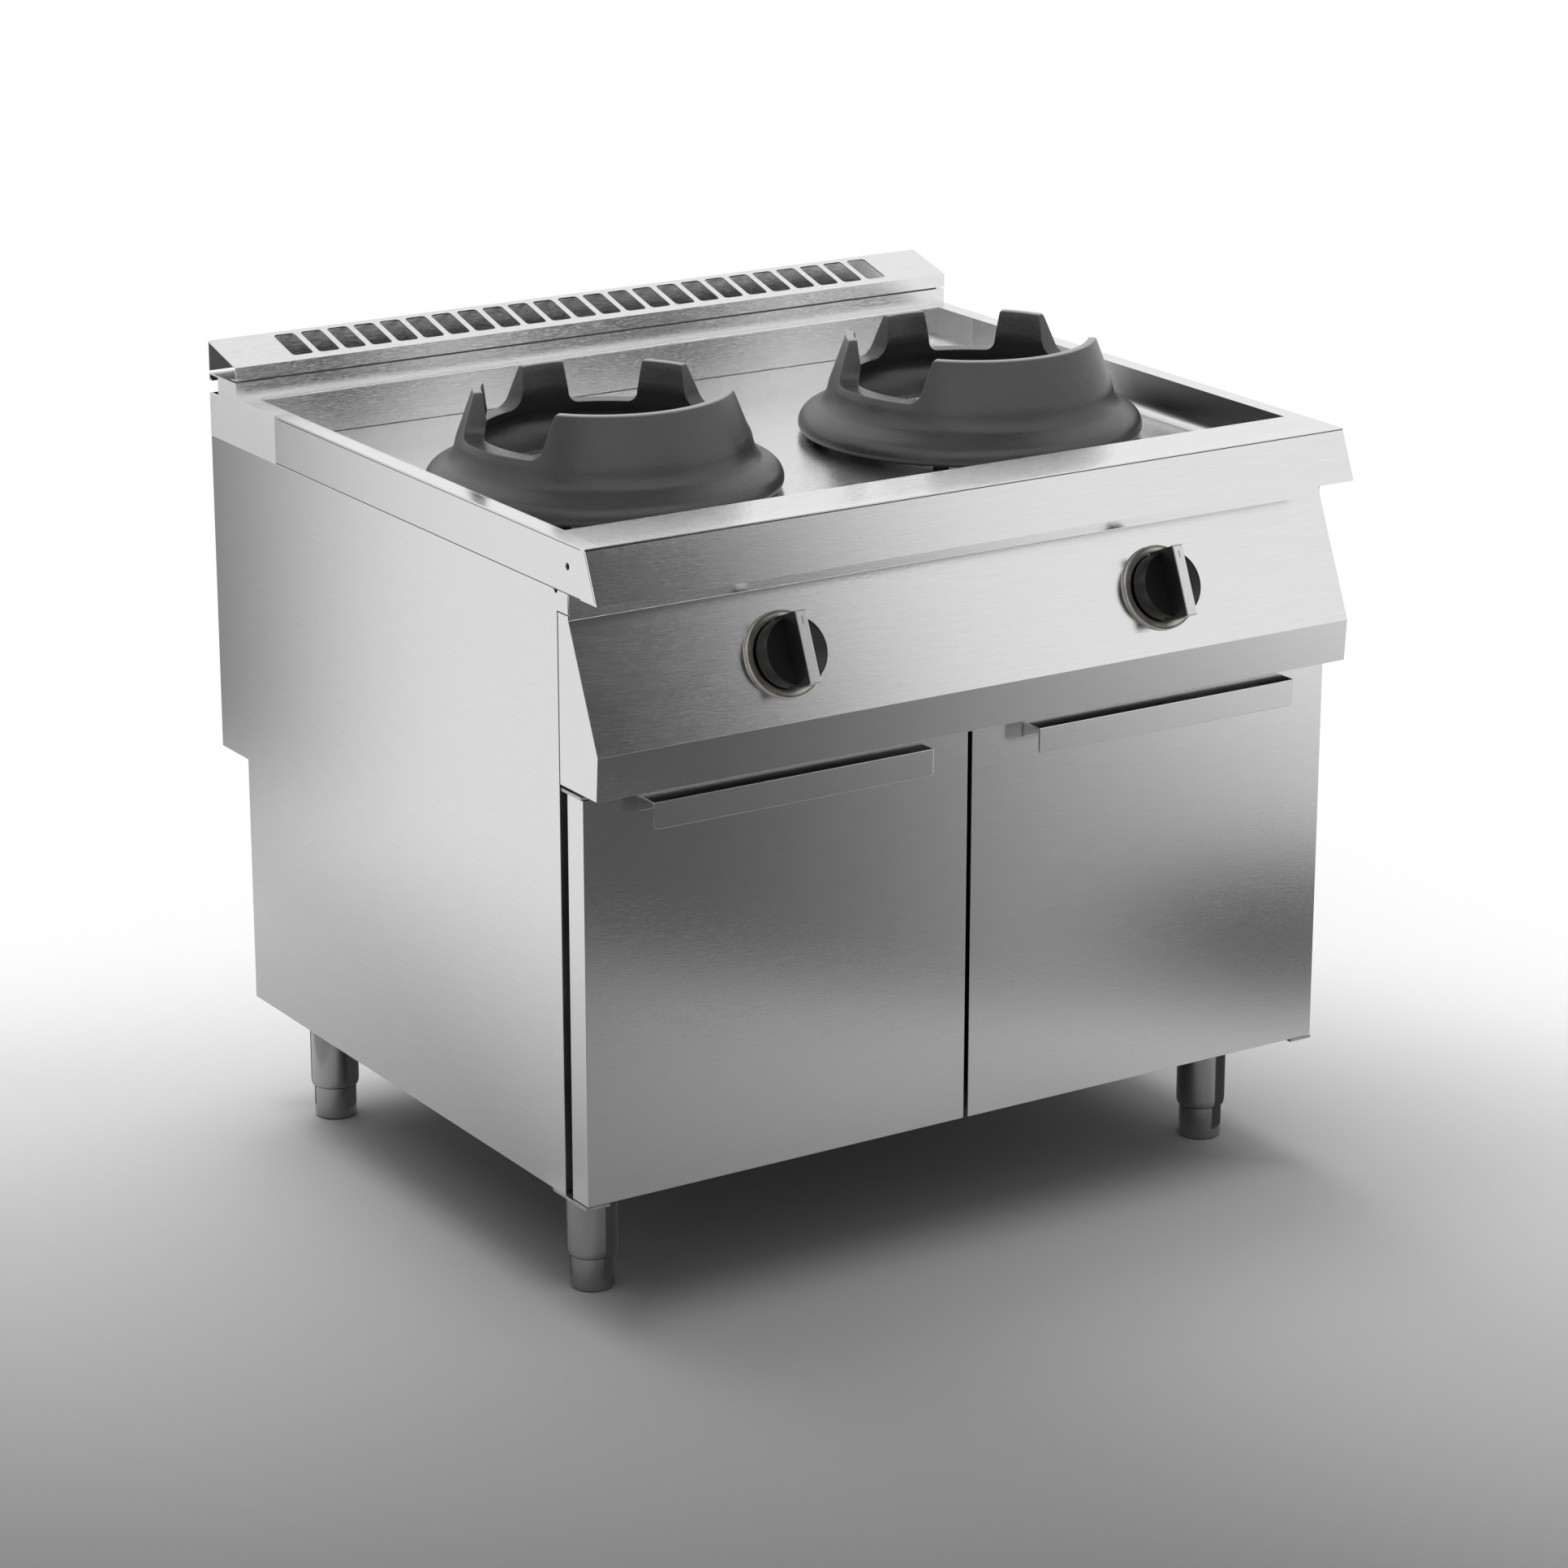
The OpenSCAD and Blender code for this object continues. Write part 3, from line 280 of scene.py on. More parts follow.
room = bpy.data.worlds.new("room")
room.use_nodes = True
room.node_tree.nodes.clear()
room_start = Signal(room.node_tree)
seen = room_start.add("ShaderNodeLightPath", output="Is Camera Ray")
mirrored = room_start.add("ShaderNodeLightPath", output="Is Glossy Ray")
through = room_start.add("ShaderNodeLightPath", output="Is Transmission Ray")
shown = room_start.math("MINIMUM", seen + mirrored + through, 1.0)
room_light = 0.5
room_level = shown * (1.0 - room_light) + room_light
sky = room_start.add("ShaderNodeBackground", None, {"Color": grey(1.0), "Strength": room_level})
room_output = room.node_tree.nodes.new("ShaderNodeOutputWorld")
room.node_tree.links.new(sky.socket, room_output.inputs["Surface"])
bpy.context.scene.world = room


# Cabinet sheets: side panels, back, floor, front frame and heat shield, folded from stainless
# sheet and spot welded. The outside is finely brushed, and the inner sheets keep their dull finish.
def steel(name, along, tone=0.745, roughness=0.135, depth=0.00003, deeper=None, lines=None):
    """Finely brushed stainless: scratches 0.4 mm apart run along one axis, x, y or z."""
    material, start, output, place = new_finish(name)

    def drawn_out(lengthwise, across, detail):
        """Noise stretched along the grain, with so many changes to a metre each way."""
        scale = tuple(lengthwise if axis == along else across for axis in "xyz")
        stretched = start.add("ShaderNodeMapping", None, {"Vector": place, "Scale": scale})
        sockets = {"Vector": stretched, "Scale": 1.0, "Detail": detail}
        return start.add("ShaderNodeTexNoise", None, sockets)

    scratches = drawn_out(90.0, 2400.0, 1.0)
    streaks = drawn_out(22.0, 900.0, 3.0) - 0.5
    sockets = {"Vector": place, "Scale": 30.0, "Detail": 4.0}
    clouds = start.add("ShaderNodeTexNoise", None, sockets) - 0.5
    level = streaks * 0.10 + clouds * 0.02 + tone
    if lines:
        level = level * (1.0 - lines(start, place) * 0.85)
    colour = level.mixed(grey(0.0), grey(1.0))
    rough = streaks * 0.02 + clouds * 0.02 + roughness
    height = scratches * deeper(start, place) if deeper else scratches
    sockets = {"Height": height, "Strength": 1.0, "Distance": depth}
    bump = start.add("ShaderNodeBump", None, sockets)
    sockets = {"Base Color": colour, "Metallic": 1.0, "Roughness": rough, "Normal": bump}
    surface = start.add("ShaderNodeBsdfPrincipled", None, sockets)
    material.node_tree.links.new(surface.socket, output.inputs["Surface"])
    return material


def dull_sheet(name, tone, shade_painted_to=None):
    """Mill-finished sheet: soft grey with cloudy patches, and painted shade, a dull near-black, up
    to a height.
    """
    material, start, output, place = new_finish(name)
    clouds = start.add("ShaderNodeTexNoise", None, {"Vector": place, "Scale": 14.0, "Detail": 5.0})
    colour = clouds.between(0.3, 0.7).mixed(grey(tone * 0.85), grey(tone * 1.1))
    unshaded_part = 1.0
    if shade_painted_to:
        unshaded_part = place.part("z").between(shade_painted_to - 0.0002, shade_painted_to + 0.0002)
        colour = unshaded_part.mixed(grey(0.02), colour)
    sockets = {"Height": clouds, "Strength": 0.05, "Distance": 0.001}
    bump = start.add("ShaderNodeBump", None, sockets)
    sockets = {"Base Color": colour, "Metallic": unshaded_part, "Normal": bump}
    sockets["Roughness"] = clouds * 0.15 + 0.38
    surface = start.add("ShaderNodeBsdfPrincipled", None, sockets)
    material.node_tree.links.new(surface.socket, output.inputs["Surface"])
    return material


def softened(node, body, width, finish, fold=32.0):
    """A copy of a node whose folds and cut edges are rounded off by a live bevel."""
    mesh = nodes[node].data.copy()
    mesh.name = node + "_finished"
    bm = bmesh.new()
    bm.from_mesh(mesh)
    bmesh.ops.remove_doubles(bm, verts=bm.verts, dist=1e-6)
    bmesh.ops.dissolve_limit(bm, angle_limit=math.radians(0.4), verts=bm.verts, edges=bm.edges)
    bm.to_mesh(mesh)
    bm.free()
    mesh.shade_smooth()
    mesh.set_sharp_from_angle(angle=math.radians(fold))
    for face in mesh.polygons:
        corners = np.array([mesh.vertices[i].co for i in face.vertices])
        around = np.linalg.norm(corners - np.roll(corners, 1, 0), axis=1).sum()
        face.use_smooth = bool(2 * face.area / around < 0.004)
    mesh.materials.clear()
    mesh.materials.append(finish)
    piece = bpy.data.objects.new(node + "_finished", mesh)
    bpy.context.scene.collection.objects.link(piece)
    bevel = piece.modifiers.new("edge", "BEVEL")
    bevel.width = width
    bevel.segments = 2
    bevel.limit_method = "ANGLE"
    bevel.angle_limit = math.radians(fold)
    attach(piece, body)
    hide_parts(node)


def dressed(node, finish):
    """Gives a node that stays as it is its finish."""
    nodes[node].data.materials.clear()
    nodes[node].data.materials.append(finish)


side_steel = steel("side_steel", "y")
front_steel = steel("front_steel", "x")
inner_sheet = dull_sheet("inner_sheet", 0.42)
for side in ("left", "right"):
    softened(f"side_panel_{side}", "cabinet", 0.0006, side_steel)
softened("back_panel", "cabinet", 0.0006, front_steel)
softened("front_frame", "cabinet", 0.0006, front_steel)
# The base shelf is painted dull near-black up to 150.2 mm, as painted shade under the range.
shelf_sheet = dull_sheet("shelf_sheet", 0.42, shade_painted_to=0.1502)
softened("base_shelf", "cabinet", 0.0006, shelf_sheet)
dressed("heat_shield", inner_sheet)


# Legs: stainless tubes with a rolled-in lower rim, welded to flanges on the cabinet floor, with
# screw-out feet turned from bar inside them. Their steel is painted darker as shade under the
# range, and the thin gap between tube and foot is painted dark as shade.
def skin(name, grids, finish, body, node=None):
    """A piece of quads over grids of points, rows by columns, each closed round both ways."""
    points = []
    faces = []
    count = 0
    around = ((0, 0), (0, 1), (1, 1), (1, 0))
    for grid in grids:
        rows, columns = grid.shape[:2]
        row = np.arange(rows)[:, None]
        column = np.arange(columns)[None, :]
        quad = [((row + r) % rows) * columns + (column + c) % columns for r, c in around]
        faces.append(np.stack(quad, -1).reshape(-1, 4) + count)
        points.append(grid.reshape(-1, 3))
        count += rows * columns
    mesh = bpy.data.meshes.new(name)
    mesh.from_pydata(np.concatenate(points).tolist(), [], np.concatenate(faces).tolist())
    bm = bmesh.new()
    bm.from_mesh(mesh)
    bmesh.ops.remove_doubles(bm, verts=bm.verts, dist=1e-6)
    bmesh.ops.dissolve_degenerate(bm, edges=bm.edges, dist=1e-7)
    bmesh.ops.recalc_face_normals(bm, faces=bm.faces)
    bm.to_mesh(mesh)
    bm.free()
    mesh.shade_smooth()
    mesh.materials.append(finish)
    piece = bpy.data.objects.new(name, mesh)
    bpy.context.scene.collection.objects.link(piece)
    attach(piece, body)
    if node:
        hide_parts(node)
    return piece


def arc(centre, radius, first, last, count=6):
    """Points of an arc in a profile: centre + radius (cos a, sin a)."""
    a = np.radians(np.linspace(first, last, count))
    return [(centre[0] + radius * math.cos(t), centre[1] + radius * math.sin(t)) for t in a]


def turned(profile, count=128):
    """A profile (r, z) turned round z: (r cos a, r sin a, z), as a grid closed both ways."""
    r, z = np.array(profile).T[:, :, None]
    a = np.linspace(0, 2 * math.pi, count, endpoint=False)[None, :]
    return np.stack([r * np.cos(a), r * np.sin(a), z + 0 * a], -1)


def tube_gap_painted_shade(start, place):
    """Painted shade in the gap under the rolled rim of the tubes."""
    return place.part("z").between(0.0414, 0.0420, 1.0, 0.0)


def foot_edge_painted_shade(start, place):
    """Painted shade under the rounded edge on which a foot stands."""
    return place.part("z").between(0.0012, 0.0020, 1.0, 0.0)


# The steel of legs and feet is painted darker than the cabinet's, as painted shade under the range.
shaded_tube_metal = steel("shaded_tube_metal", "z", tone=0.42, roughness=0.13, lines=tube_gap_painted_shade)
bore_r, tube_r, rim_r = 0.0256, 0.0289, 0.0265
tube_top, roll_top, roll_h = 0.149, 0.0495, 0.0092
tube_profile = [(bore_r, tube_top), (tube_r, tube_top)]
for t in np.radians(np.linspace(0, 90, 7)):
    tube_profile.append((rim_r + (tube_r - rim_r) * math.cos(t), roll_top - roll_h * math.sin(t)))
tube_profile.append((bore_r, roll_top - roll_h + 0.0003))
tubes = [turned(tube_profile, 72) + np.array([x, y, 0.0]) for x, y in leg_places]
leg_tubes = skin("leg_tubes_rolled", tubes, shaded_tube_metal, "cabinet", "leg_tubes")
leg_tubes.data.set_sharp_from_angle(angle=math.radians(50))
dressed("leg_flanges", inner_sheet)
shaded_foot_metal = steel("shaded_foot_metal", "z", tone=0.40, roughness=0.13, lines=foot_edge_painted_shade)
for node in ("foot_front_left", "foot_front_right", "foot_rear_left", "foot_rear_right"):
    softened(node, node, 0.0005, shaded_foot_metal)


# Gas run: a plated rail with its inlet, brass taps clamped on it, pipes and their injectors, all
# hidden behind the panel.
def plain_metal(name, colour, roughness):
    """Turned or drawn metal with a faint cloudy tarnish."""
    material, start, output, place = new_finish(name)
    clouds = start.add("ShaderNodeTexNoise", None, {"Vector": place, "Scale": 60.0, "Detail": 4.0})
    dark = tuple(c * 0.8 for c in colour[:3]) + (1.0,)
    sockets = {"Base Color": clouds.between(0.3, 0.7).mixed(dark, colour), "Metallic": 1.0}
    sockets["Roughness"] = clouds * 0.2 + (roughness - 0.1)
    surface = start.add("ShaderNodeBsdfPrincipled", None, sockets)
    material.node_tree.links.new(surface.socket, output.inputs["Surface"])
    return material


brass = plain_metal("tap_brass", (0.70, 0.52, 0.26, 1.0), 0.34)
plated = plain_metal("plated_steel", (0.55, 0.55, 0.56, 1.0), 0.36)
dressed("gas_rail", plated)
for side in ("left", "right"):
    dressed(f"gas_valve_{side}", brass)
    dressed(f"collar_{side}", plated)
    dressed(f"stem_{side}", plated)
    dressed(f"burner_pipe_{side}", brass)
    dressed(f"pilot_{side}", brass)


# Burners: grey cast crowns with milled ports under the mouths of the well, screwed to a folded
# sheet beam. Each takes its gas at the end of its mixing tube.
def cast(name, tone, roughness, grain, depth, wear_and_highlight=None):
    """Sand cast iron: a fine even grain in the surface and a slightly blotchy, bluish dark grey."""
    material, start, output, place = new_finish(name)
    sockets = {"Vector": place, "Scale": grain, "Detail": 3.0, "Roughness": 0.6}
    sand = start.add("ShaderNodeTexNoise", None, sockets)
    clouds = start.add("ShaderNodeTexNoise", None, {"Vector": place, "Scale": 18.0, "Detail": 3.0})
    dark = (tone * 0.93, tone * 0.91, tone * 0.95, 1.0)
    light = (tone * 1.09, tone * 1.06, tone * 1.13, 1.0)
    colour = clouds.between(0.3, 0.7).mixed(dark, light)
    # Wear and painted highlight, where given, lighten the colour to grey.
    if wear_and_highlight:
        colour = wear_and_highlight(place).mixed(colour, grey(0.3))
    sockets = {"Height": sand, "Strength": 1.0, "Distance": depth}
    bump = start.add("ShaderNodeBump", None, sockets)
    sockets = {"Base Color": colour, "Normal": bump, "Specular IOR Level": 0.6}
    sockets["Roughness"] = (sand - 0.5) * 0.2 + roughness
    surface = start.add("ShaderNodeBsdfPrincipled", None, sockets)
    material.node_tree.links.new(surface.socket, output.inputs["Surface"])
    return material


burner_iron = cast("burner_iron", 0.06, 0.6, 500.0, 0.0002)
for side in ("left", "right"):
    softened(f"burner_{side}", "cabinet", 0.0006, burner_iron)
dressed("burner_beam", inner_sheet)


# Worktop and upstand: heavy stainless sheet folded into lip, rims and well, with the rear part
# welded on behind the seam. The well is pressed round the two burner mouths.
def drawn_line(value, middle, half):
    """A drawn line: 1 within half its width, and 0 from 0.4 mm further out."""
    return value.math("ABSOLUTE", value - middle).between(half, half + 0.0004, 1.0, 0.0)


def seams_and_painted_dark_lines(start, place):
    """Dark lines: seams under the side rims, down the lip's ends and at the foot of the aprons, a
    painted reflection along the lip's top fold, and painted shade under the rear edge of the well."""
    x, y, z = place.part("x"), place.part("y"), place.part("z")
    end = start.math("ABSOLUTE", x).between(0.4992, 0.4996)
    rim_seam = drawn_line(z, 0.8892, 0.0003)
    rim_seam = rim_seam * y.between(-0.4015, -0.4005) * y.between(0.290, 0.291, 1.0, 0.0)
    lip_seam = drawn_line(y - (z - 0.835) * 0.4123, -0.4305, 0.0003)
    lip_seam = lip_seam * z.between(0.8372, 0.8378) * z.between(0.8885, 0.889, 1.0, 0.0)
    apron_foot = drawn_line(z, 0.8354, 0.0006) * y.between(-0.400, -0.399)
    at_ends = start.math("MAXIMUM", start.math("MAXIMUM", rim_seam, lip_seam), apron_foot) * end
    # Painted reflection: a dark line along the lip's top fold.
    painted_fold_reflection = drawn_line(z, 0.8902, 0.0004) * y.between(-0.4090, -0.4085, 1.0, 0.0)
    # Painted shade: a dark line under the rear edge of the well.
    painted_well_edge_shade = drawn_line(z, 0.8896, 0.0003) * y.between(0.372, 0.373)
    painted_well_edge_shade = painted_well_edge_shade * y.between(0.380, 0.381, 1.0, 0.0) * (1.0 - end)
    return start.math("MAXIMUM", start.math("MAXIMUM", painted_fold_reflection, painted_well_edge_shade), at_ends)


def well_blur(start, place):
    """The well is scrubbed rougher than the lip, so what it mirrors is blurred up and down."""
    inside = start.math("ABSOLUTE", place.part("x")).between(0.480, 0.482, 1.0, 0.0)
    return place.part("y").between(-0.42, -0.38) * inside * 2.5 + 1.0


top_steel = steel("top_steel", "x", roughness=0.14, deeper=well_blur, lines=seams_and_painted_dark_lines)
flue_steel = steel("flue_steel", "x", tone=0.80, roughness=0.24, depth=0.00014)
softened("worktop", "cabinet", 0.0009, top_steel)
softened("upstand", "cabinet", 0.0009, flue_steel)


# Flue: a dull duct behind the upstand, painted near black as the shade inside it, a dark spacer
# strip and the sloped cover with its slots, laser cut and folded from stainless sheet.
# Painted shade: the duct is painted near black, as the dark seen through the slots.
dressed("flue_duct", dull_sheet("duct_shade_sheet", 0.08))
dressed("cover_spacer", dull_sheet("spacer_sheet", 0.12))
softened("flue_cover", "cabinet", 0.0006, flue_steel, 20.0)


# Control panel: one stainless sheet folded into the strip behind the lip, the slanted face and
# the lower strip, with a cheek welded on at each end.
softened("control_panel", "cabinet", 0.0003, front_steel, 10.0)


# Bezels: dished rings spun from champagne anodised aluminium, with a thin turned-up lip, laid on
# the panel round each knob.
slant_in, slant_h = 58.0, 136.0
lean = math.atan2(slant_in, slant_h)


def on_panel(grid, sign):
    """Lays a grid in mm on the panel: centre + x right + y up the slanted face + z out of it."""
    centre = np.array([sign * 0.25, -0.40264028, 0.738])
    right = np.array([1.0, 0.0, 0.0])
    up = np.array([0.0, math.sin(lean), math.cos(lean)])
    out = np.array([0.0, -math.cos(lean), math.sin(lean)])
    x, y, z = np.moveaxis(grid / 1000.0, -1, 0)[..., None]
    return centre + x * right + y * up + z * out


bezel_r = 48.4
bezel_metal = plain_metal("bezel_metal", (0.86, 0.83, 0.74, 1.0), 0.46)
bezel_profile = [(39.3, 0.05), (bezel_r, 0.05), (bezel_r, 3.4)]
bezel_profile += arc((bezel_r - 0.6, 3.8), 0.6, 0, 180, 7)
bezel_profile += [(bezel_r - 1.4, 3.3), (44.0, 2.9), (41.0, 2.1), (39.5, 1.5)]
for side, sign in (("left", -1), ("right", 1)):
    dish = on_panel(turned(bezel_profile), sign)
    skin(f"bezel_spun_{side}", [dish], bezel_metal, "cabinet", f"bezel_{side}")


# Knobs: satin black mouldings with a round skirt, a dished face and a tapered grip that reaches
# past the skirt at both ends. A metal band is bent over the front of the grip and pressed on.
def rounded(corners, radius, count=5):
    """A closed outline whose corners are rounded off by arcs that touch both sides."""
    p = np.array(corners, float)
    outline = []
    for before, here, after in zip(np.roll(p, 1, 0), p, np.roll(p, -1, 0)):
        u = (before - here) / np.linalg.norm(before - here)
        v = (after - here) / np.linalg.norm(after - here)
        half = math.acos(float(np.clip(u @ v, -1, 1))) / 2
        middle = here + (u + v) / np.linalg.norm(u + v) * radius / math.sin(half)
        start = here + u * radius / math.tan(half) - middle
        stop = here + v * radius / math.tan(half) - middle
        outline.append(middle + start + u * radius * 0.4)
        for t in np.linspace(0, 1, count):
            way = start * (1 - t) + stop * t
            outline.append(middle + way / np.linalg.norm(way) * radius)
        outline.append(middle + stop + v * radius * 0.4)
    return np.array(outline)


def bar(outline, first, last, edge):
    """An outline (x, z) carried along y, with its ends drawn in by a rounded edge and closed."""
    middle = (outline.max(0) + outline.min(0)) / 2
    way = outline - middle
    size = np.abs(way).max(0)
    rounding = [(0.0, None), (0.0, edge * 1.6), (0.0, edge), (edge * 0.3, edge * 0.3)]
    rounding += [(edge, 0.0), (edge * 1.5, 0.0)]
    stations = [(first + y, inset) for y, inset in rounding]
    stations += [(last - y, inset) for y, inset in rounding[::-1]]
    rows = []
    for y, inset in stations:
        scale = 0.0 if inset is None else (size - inset) / size
        ring = middle + way * scale
        rows.append(np.stack([ring[:, 0], np.full(len(ring), y), ring[:, 1]], -1))
    return np.array(rows)


def taper(foot_half, foot, top_half, top, radius, count=5):
    """An outline that narrows from its foot to its top, given by half widths and heights."""
    corners = [(-foot_half, foot), (foot_half, foot), (top_half, top), (-top_half, top)]
    return rounded(corners, radius, count)


def knob_top(rows=36, count=144):
    """Skirt and dished face: z = rim - dip (1 - (r / R)^2)^0.8."""
    r_out, low, rim, dip = 38.0, 5.4, 28.0, 8.0
    face_r = r_out - 0.7
    skirt = [(0.0, low), (36.8, low)] + arc((r_out - 0.6, low + 0.6), 0.6, -90, 0, 4)
    skirt += [(r_out, z) for z in (9.0, 14.0, 19.0, 24.0, 27.0)]
    skirt += arc((face_r, rim - 0.7), 0.7, 0, 90, 5)
    body = turned(skirt, count)
    r = np.linspace(face_r, 0.0, rows)[1:, None]
    a = np.linspace(0, 2 * math.pi, count, endpoint=False)[None, :]
    x, y = r * np.cos(a), r * np.sin(a)
    z = rim - dip * (1 - (r / face_r) ** 2) ** 0.8 + 0 * x
    return np.concatenate([body, np.stack([x, y, z], -1)])


knob_black = cast("knob_black", 0.012, 0.40, 700.0, 0.00004)
band_steel = steel("band_steel", "z", tone=0.70, roughness=0.24)
grip_foot, grip_top, band_top = 9.4, 50.2, 52.0
grip_end, band_end, tongue_in, tongue_out = 40.2, 40.3, 38.6, 40.45
grip_outline = taper(9.4, grip_foot, 6.5, grip_top, 1.0)
band_outline = taper(6.5, grip_top - 0.2, 6.4, band_top, 0.5, 3)
tongue_outline = taper(6.6, grip_top - 5.0, 6.4, band_top, 0.5, 3)
mark_outline = taper(0.5, band_top - 0.5, 0.5, band_top + 0.04, 0.1, 2)
knob_grids = [knob_top(), bar(grip_outline, -grip_end, grip_end, 0.8)]
band_grids = [bar(band_outline, -band_end, band_end, 0.3),
              bar(tongue_outline, -tongue_out, -tongue_in, 0.5),
              bar(tongue_outline, tongue_in, tongue_out, 0.5)]
mark_grids = [bar(mark_outline, 25.0, 34.0, 0.1)]
for side, sign in (("left", -1), ("right", 1)):
    body = f"knob_{side}"
    knob = [on_panel(grid, sign) for grid in knob_grids]
    moulding = skin(f"knob_moulding_{side}", knob, knob_black, body, body)
    moulding.data.set_sharp_from_angle(angle=math.radians(40))
    band = [on_panel(grid, sign) for grid in band_grids]
    skin(f"knob_band_{side}", band, band_steel, body, f"knob_insert_{side}")
    mark = [on_panel(grid, sign) for grid in mark_grids]
    skin(f"knob_mark_{side}", mark, knob_black, body)


# Wok rings: sand cast iron, a funnel on a flared bell with four slots cut down into it, left with
# its fine cast skin. The rings only lie on the well floor, on four small pads.
ring_h, gap_floor, gap_r, wall_z, inner_z = 117.0, 67.0, 14.0, 60.0, 52.0
top_r, mid_r, edge_r = 146.5, 150.0, 1.1


def outer_r(z):
    """Outer radius at a height above the well floor: top_r, and 20.5 mm more for 57 mm down."""
    return top_r + (ring_h - z) * (20.5 / 57.0)


def inner_r(z):
    """Inner radius: a plain seat for the wok over a wall that thickens downwards."""
    seat_z, seat_r = 84.0, 134.5
    seat = seat_r + 3.0 * (z - seat_z) / 33.0
    wall = seat_r + 15.5 * np.clip((seat_z - z) / 32.0, 0, 1.2) ** 1.4
    return np.where(z > seat_z, seat, wall)


def slot_edge(middle, half_w):
    """One slot's edge, from prong top to prong top: angle, height, and the way out of the metal.
    A point w beside the slot's middle lies at the angle middle + asin(w / outer_r(z))."""
    corner, flare, side_z = 3.0, 2.0, gap_floor + gap_r
    t = np.radians(np.linspace(90, 0, 4))
    round_w = -half_w - flare - corner + corner * np.cos(t)
    round_z = ring_h - corner + corner * np.sin(t)
    down = np.linspace(ring_h - corner - 4, side_z + 3, 7)
    down_w = -half_w - flare * (down - side_z) / 36.0
    a = np.radians(np.linspace(180, 270, 9))
    arc_w = -half_w + gap_r + gap_r * np.cos(a)
    arc_z = side_z + gap_r * np.sin(a)
    floor_w = np.linspace(-half_w + gap_r, 0.0, 6 if half_w > 60 else 5)[1:]
    w = np.concatenate([round_w, down_w, arc_w, floor_w])
    z = np.concatenate([round_z, down, arc_z, 0 * floor_w + gap_floor])
    out_w = np.concatenate([np.cos(t), 0 * down + 1, -np.cos(a), 0 * floor_w])
    out_z = np.concatenate([np.sin(t), 0 * down, -np.sin(a), 0 * floor_w + 1])
    w = np.concatenate([w, -w[-2::-1]])
    z = np.concatenate([z, z[-2::-1]])
    out_w = np.concatenate([out_w, -out_w[-2::-1]])
    out_z = np.concatenate([out_z, out_z[-2::-1]])
    return math.radians(middle) + np.arcsin(w / outer_r(z)), z, out_w, out_z


def ring_columns():
    """The edge all the way round: angle, height, the way out, and the angle at the wall's foot."""
    slots = [(-9.5, 68.4), (60.0, 46.2), (120.0, 46.2), (189.5, 68.4)]
    parts = [slot_edge(*slot) for slot in slots]
    edge = []
    for k, (angle, z, out_w, out_z) in enumerate(parts):
        following = parts[(k + 1) % 4][0][0] + (2 * math.pi if k == 3 else 0.0)
        before = parts[k - 1][0][-1] - (2 * math.pi if k == 0 else 0.0)
        first = int(np.argmax(z <= gap_floor + gap_r + 1e-6))
        middle = len(z) // 2
        last = len(z) - 1 - first
        steps = np.hypot(np.diff(angle) * mid_r, np.diff(z) * 0.35)
        way = np.concatenate([[0.0], np.cumsum(steps)])
        start, stop = (before + angle[0]) / 2, (angle[-1] + following) / 2
        lead, tail = (angle[0] - start) * mid_r, (stop - angle[-1]) * mid_r
        marks = [-lead, way[first], way[middle], way[last], way[-1] + tail]
        under = np.interp(way, marks, [start, angle[first], angle[middle], angle[last], stop])
        count = 8 if following - angle[-1] < 1.0 else 46
        u = np.linspace(0, 1, count + 2)[1:-1]
        top = angle[-1] + (following - angle[-1]) * u
        edge.append(np.stack([angle, z, out_w, out_z, under], -1))
        edge.append(np.stack([top, 0 * u + ring_h, 0 * u, 0 * u + 1, top], -1))
    return np.concatenate(edge)


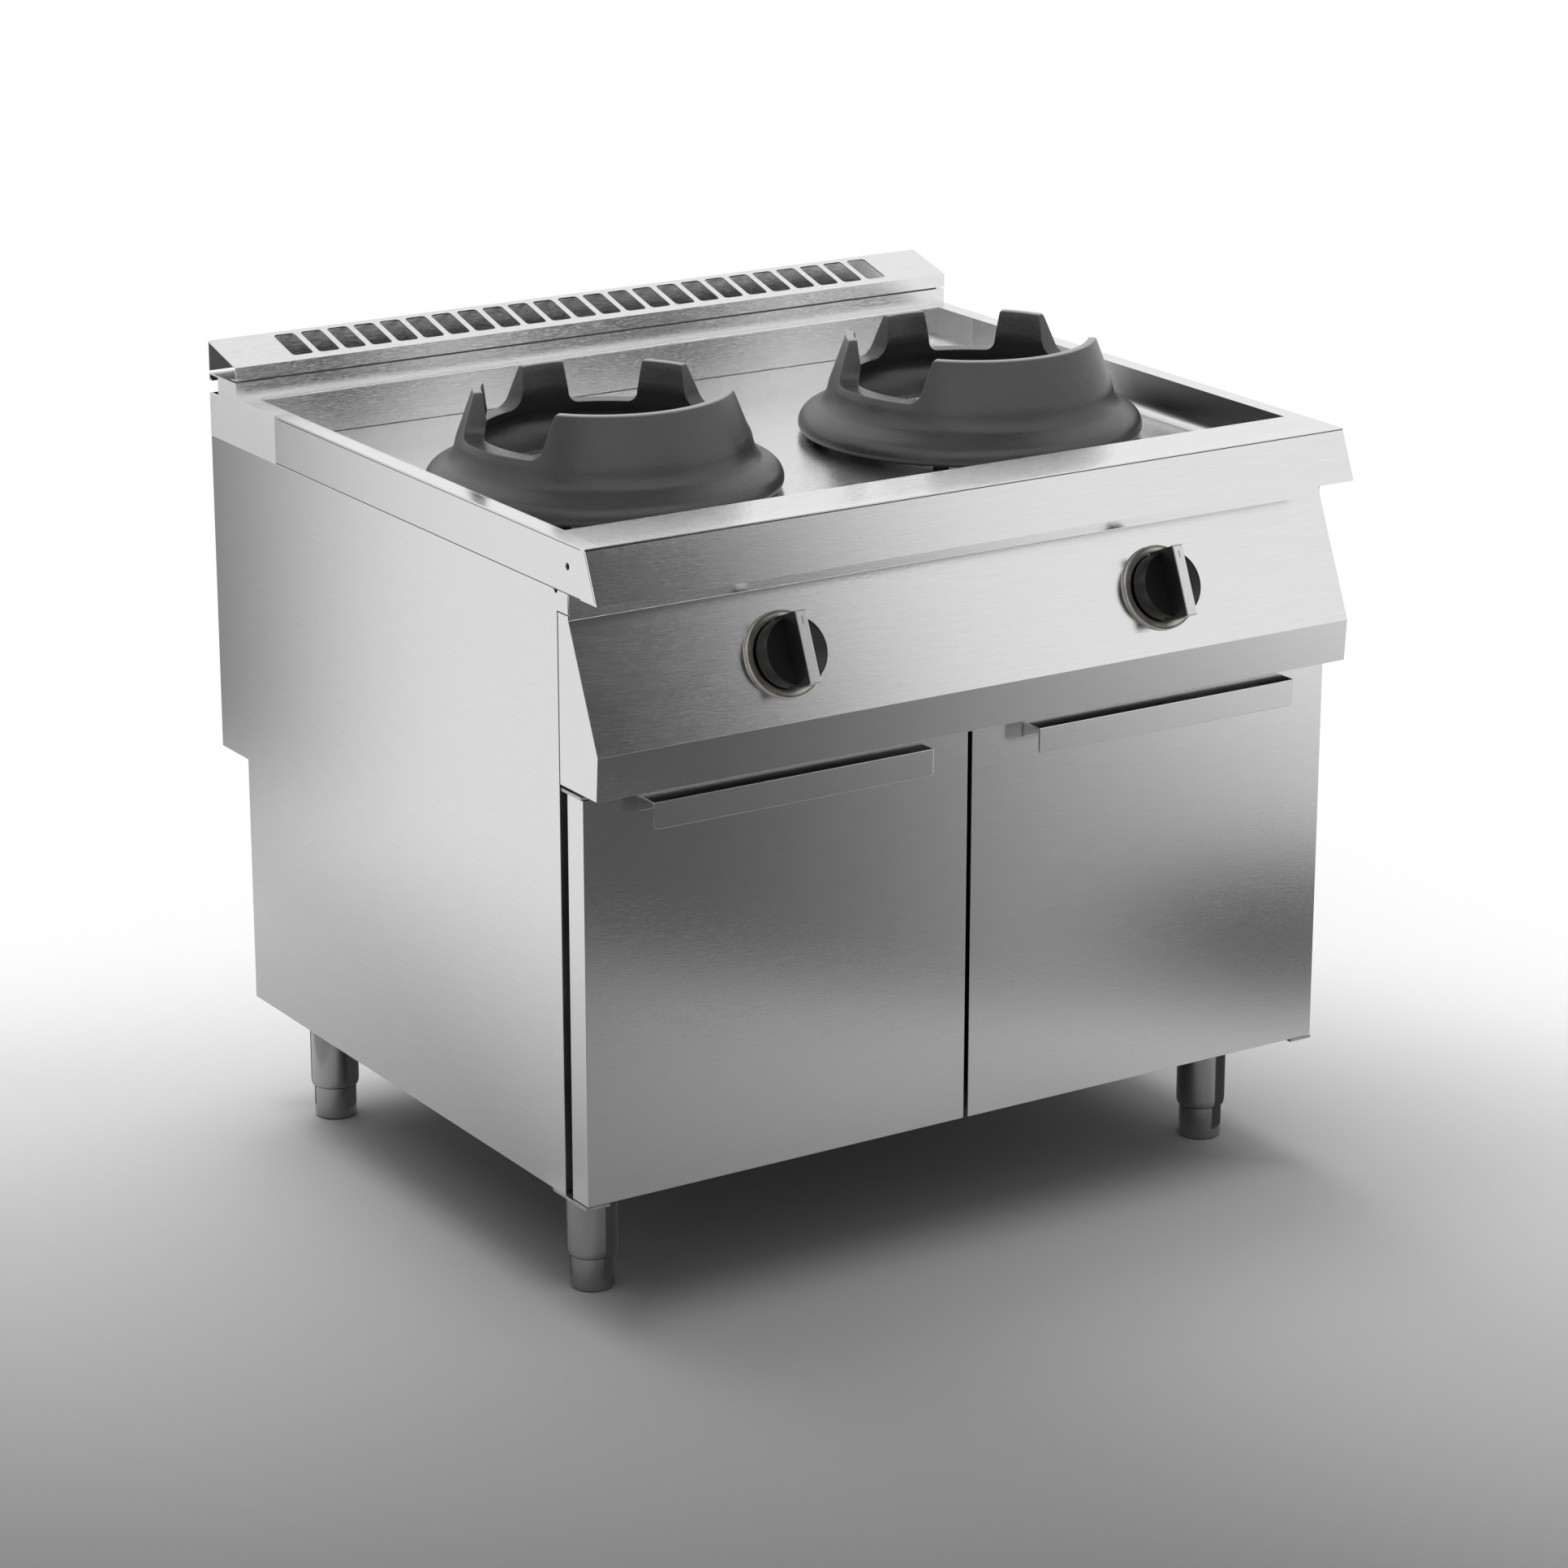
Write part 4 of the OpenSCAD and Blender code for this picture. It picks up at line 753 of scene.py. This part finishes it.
def ring_grid(centre_x, centre_y, floor_z):
    """The ring's whole skin, in rows of (r cos a, r sin a, z): up the funnel outside, over the
    edge, down inside and round the bell."""
    angle, height, out_w, out_z, foot = ring_columns().T
    rows = []

    def row(r, phi, z):
        """One row of the skin all the way round."""
        rows.append(np.stack([r * np.cos(phi), r * np.sin(phi), z + 0 * phi], -1))

    side_phi, side_z = angle - out_w * edge_r / mid_r, height - out_z * edge_r
    for k in np.linspace(0, 1, 10):
        z = wall_z + (side_z - wall_z) * k
        row(outer_r(z), foot + (side_phi - foot) * k, z)
    for t in np.radians([25, 50, 72]):
        back = edge_r * (1 - math.sin(t))
        z = height - out_z * back
        row(outer_r(z) - edge_r * (1 - math.cos(t)), angle - out_w * back / mid_r, z)
    for k in (0.0, 0.33, 0.67, 1.0):
        r = (outer_r(height) - edge_r) * (1 - k) + (inner_r(height) + edge_r) * k
        row(r, angle, height)
    for t in np.radians([72, 50, 25]):
        back = edge_r * (1 - math.sin(t))
        z = height - out_z * back
        row(inner_r(z) + edge_r * (1 - math.cos(t)), angle - out_w * back / mid_r, z)
    for k in np.linspace(1, 0, 9):
        z = inner_z + (side_z - inner_z) * k
        row(inner_r(z), foot + (side_phi - foot) * k, z)
    # Down inside the bell, over its rim and up its shoulder to the funnel.
    low = [(150.0, 46.0), (147.5, 39.0), (142.0, 31.0), (135.0, 24.5), (128.0, 19.5), (125.0, 17.5)]
    low += [(124.6, 16.0), (126.0, 15.0), (134.0, 16.5), (144.0, 21.0), (156.0, 26.0)]
    low += [(170.0, 29.0), (182.0, 27.0), (189.0, 20.0), (192.6, 8.0)]
    low += arc((194.6, 6.4), 2.0, 180, 270, 4) + [(198.0, 4.9), (200.8, 6.5), (202.4, 9.0)]
    low += arc((184.0, 12.0), 19.0, 0, 60, 10) + [(188.5, 31.3), (183.0, 34.3)]
    first, pull = np.array([179.5, 36.2]), np.array([170.0, 41.2])
    last = np.array([outer_r(wall_z), wall_z])
    for s in np.linspace(0, 1, 11)[:-1]:
        low.append(tuple((1 - s) ** 2 * first + 2 * s * (1 - s) * pull + s * s * last))
    for r, z in low:
        row(r, foot, z)
    return np.array(rows) / 1000.0 + np.array([centre_x, centre_y, floor_z])


def post(x, y, half, low, high):
    """A small upright block, closed at both ends, as a grid of four columns."""
    square = np.array([(-1, -1), (1, -1), (1, 1), (-1, 1)]) * half
    rows = [(0.0, low), (1.0, low), (1.0, high), (0.0, high)]
    return np.array([[(x + s * px, y + s * py, z) for px, py in square] for s, z in rows])


def worn_and_highlit_tops(place):
    """The seat of the wok, rubbed bright and with a painted highlight: the last millimetre under
    the tops of the wall.
    """
    return place.part("z").between(0.9572, 0.9584)


ring_iron = cast("ring_iron", 0.052, 0.32, 210.0, 0.0003, worn_and_highlit_tops)
pad_r, pad_half, pad_h = 0.181, 0.0065, 0.023
for side, sign in (("left", -1), ("right", 1)):
    x, y, z = sign * 0.25, -0.02564028, 0.842
    grids = [ring_grid(x, y, z)]
    for a in np.radians([45, 135, 225, 315]):
        pad_x, pad_y = x + pad_r * math.cos(a), y + pad_r * math.sin(a)
        grids.append(post(pad_x, pad_y, pad_half, z, z + pad_h))
    ring = skin(f"wok_ring_cast_{side}", grids, ring_iron, f"ring_{side}",
                f"wok_ring_{side}")
    ring.data.set_sharp_from_angle(angle=math.radians(50))


# Hinges and magnets: plated plates and pins at the outer corners of the doors, and a black magnet
# behind the middle edge of each door.
dressed("hinge_plates", plated)
dressed("hinge_pins", plated)
dressed("door_magnets", cast("magnet_black", 0.02, 0.5, 500.0, 0.0001))


# Doors: a folded skin of brushed stainless over a dull liner, with a handle folded from one strip
# and welded to the face.
door_steel = steel("door_steel", "x")
handle_steel = steel("handle_steel", "x", tone=0.69, roughness=0.19)
for side in ("left", "right"):
    softened(f"door_skin_{side}", f"door_{side}", 0.0008, door_steel)
    softened(f"door_handle_{side}", f"door_{side}", 0.0009, handle_steel)
    dressed(f"door_liner_{side}", inner_sheet)
    dressed(f"door_bushes_{side}", plated)
    dressed(f"door_keeper_{side}", plated)
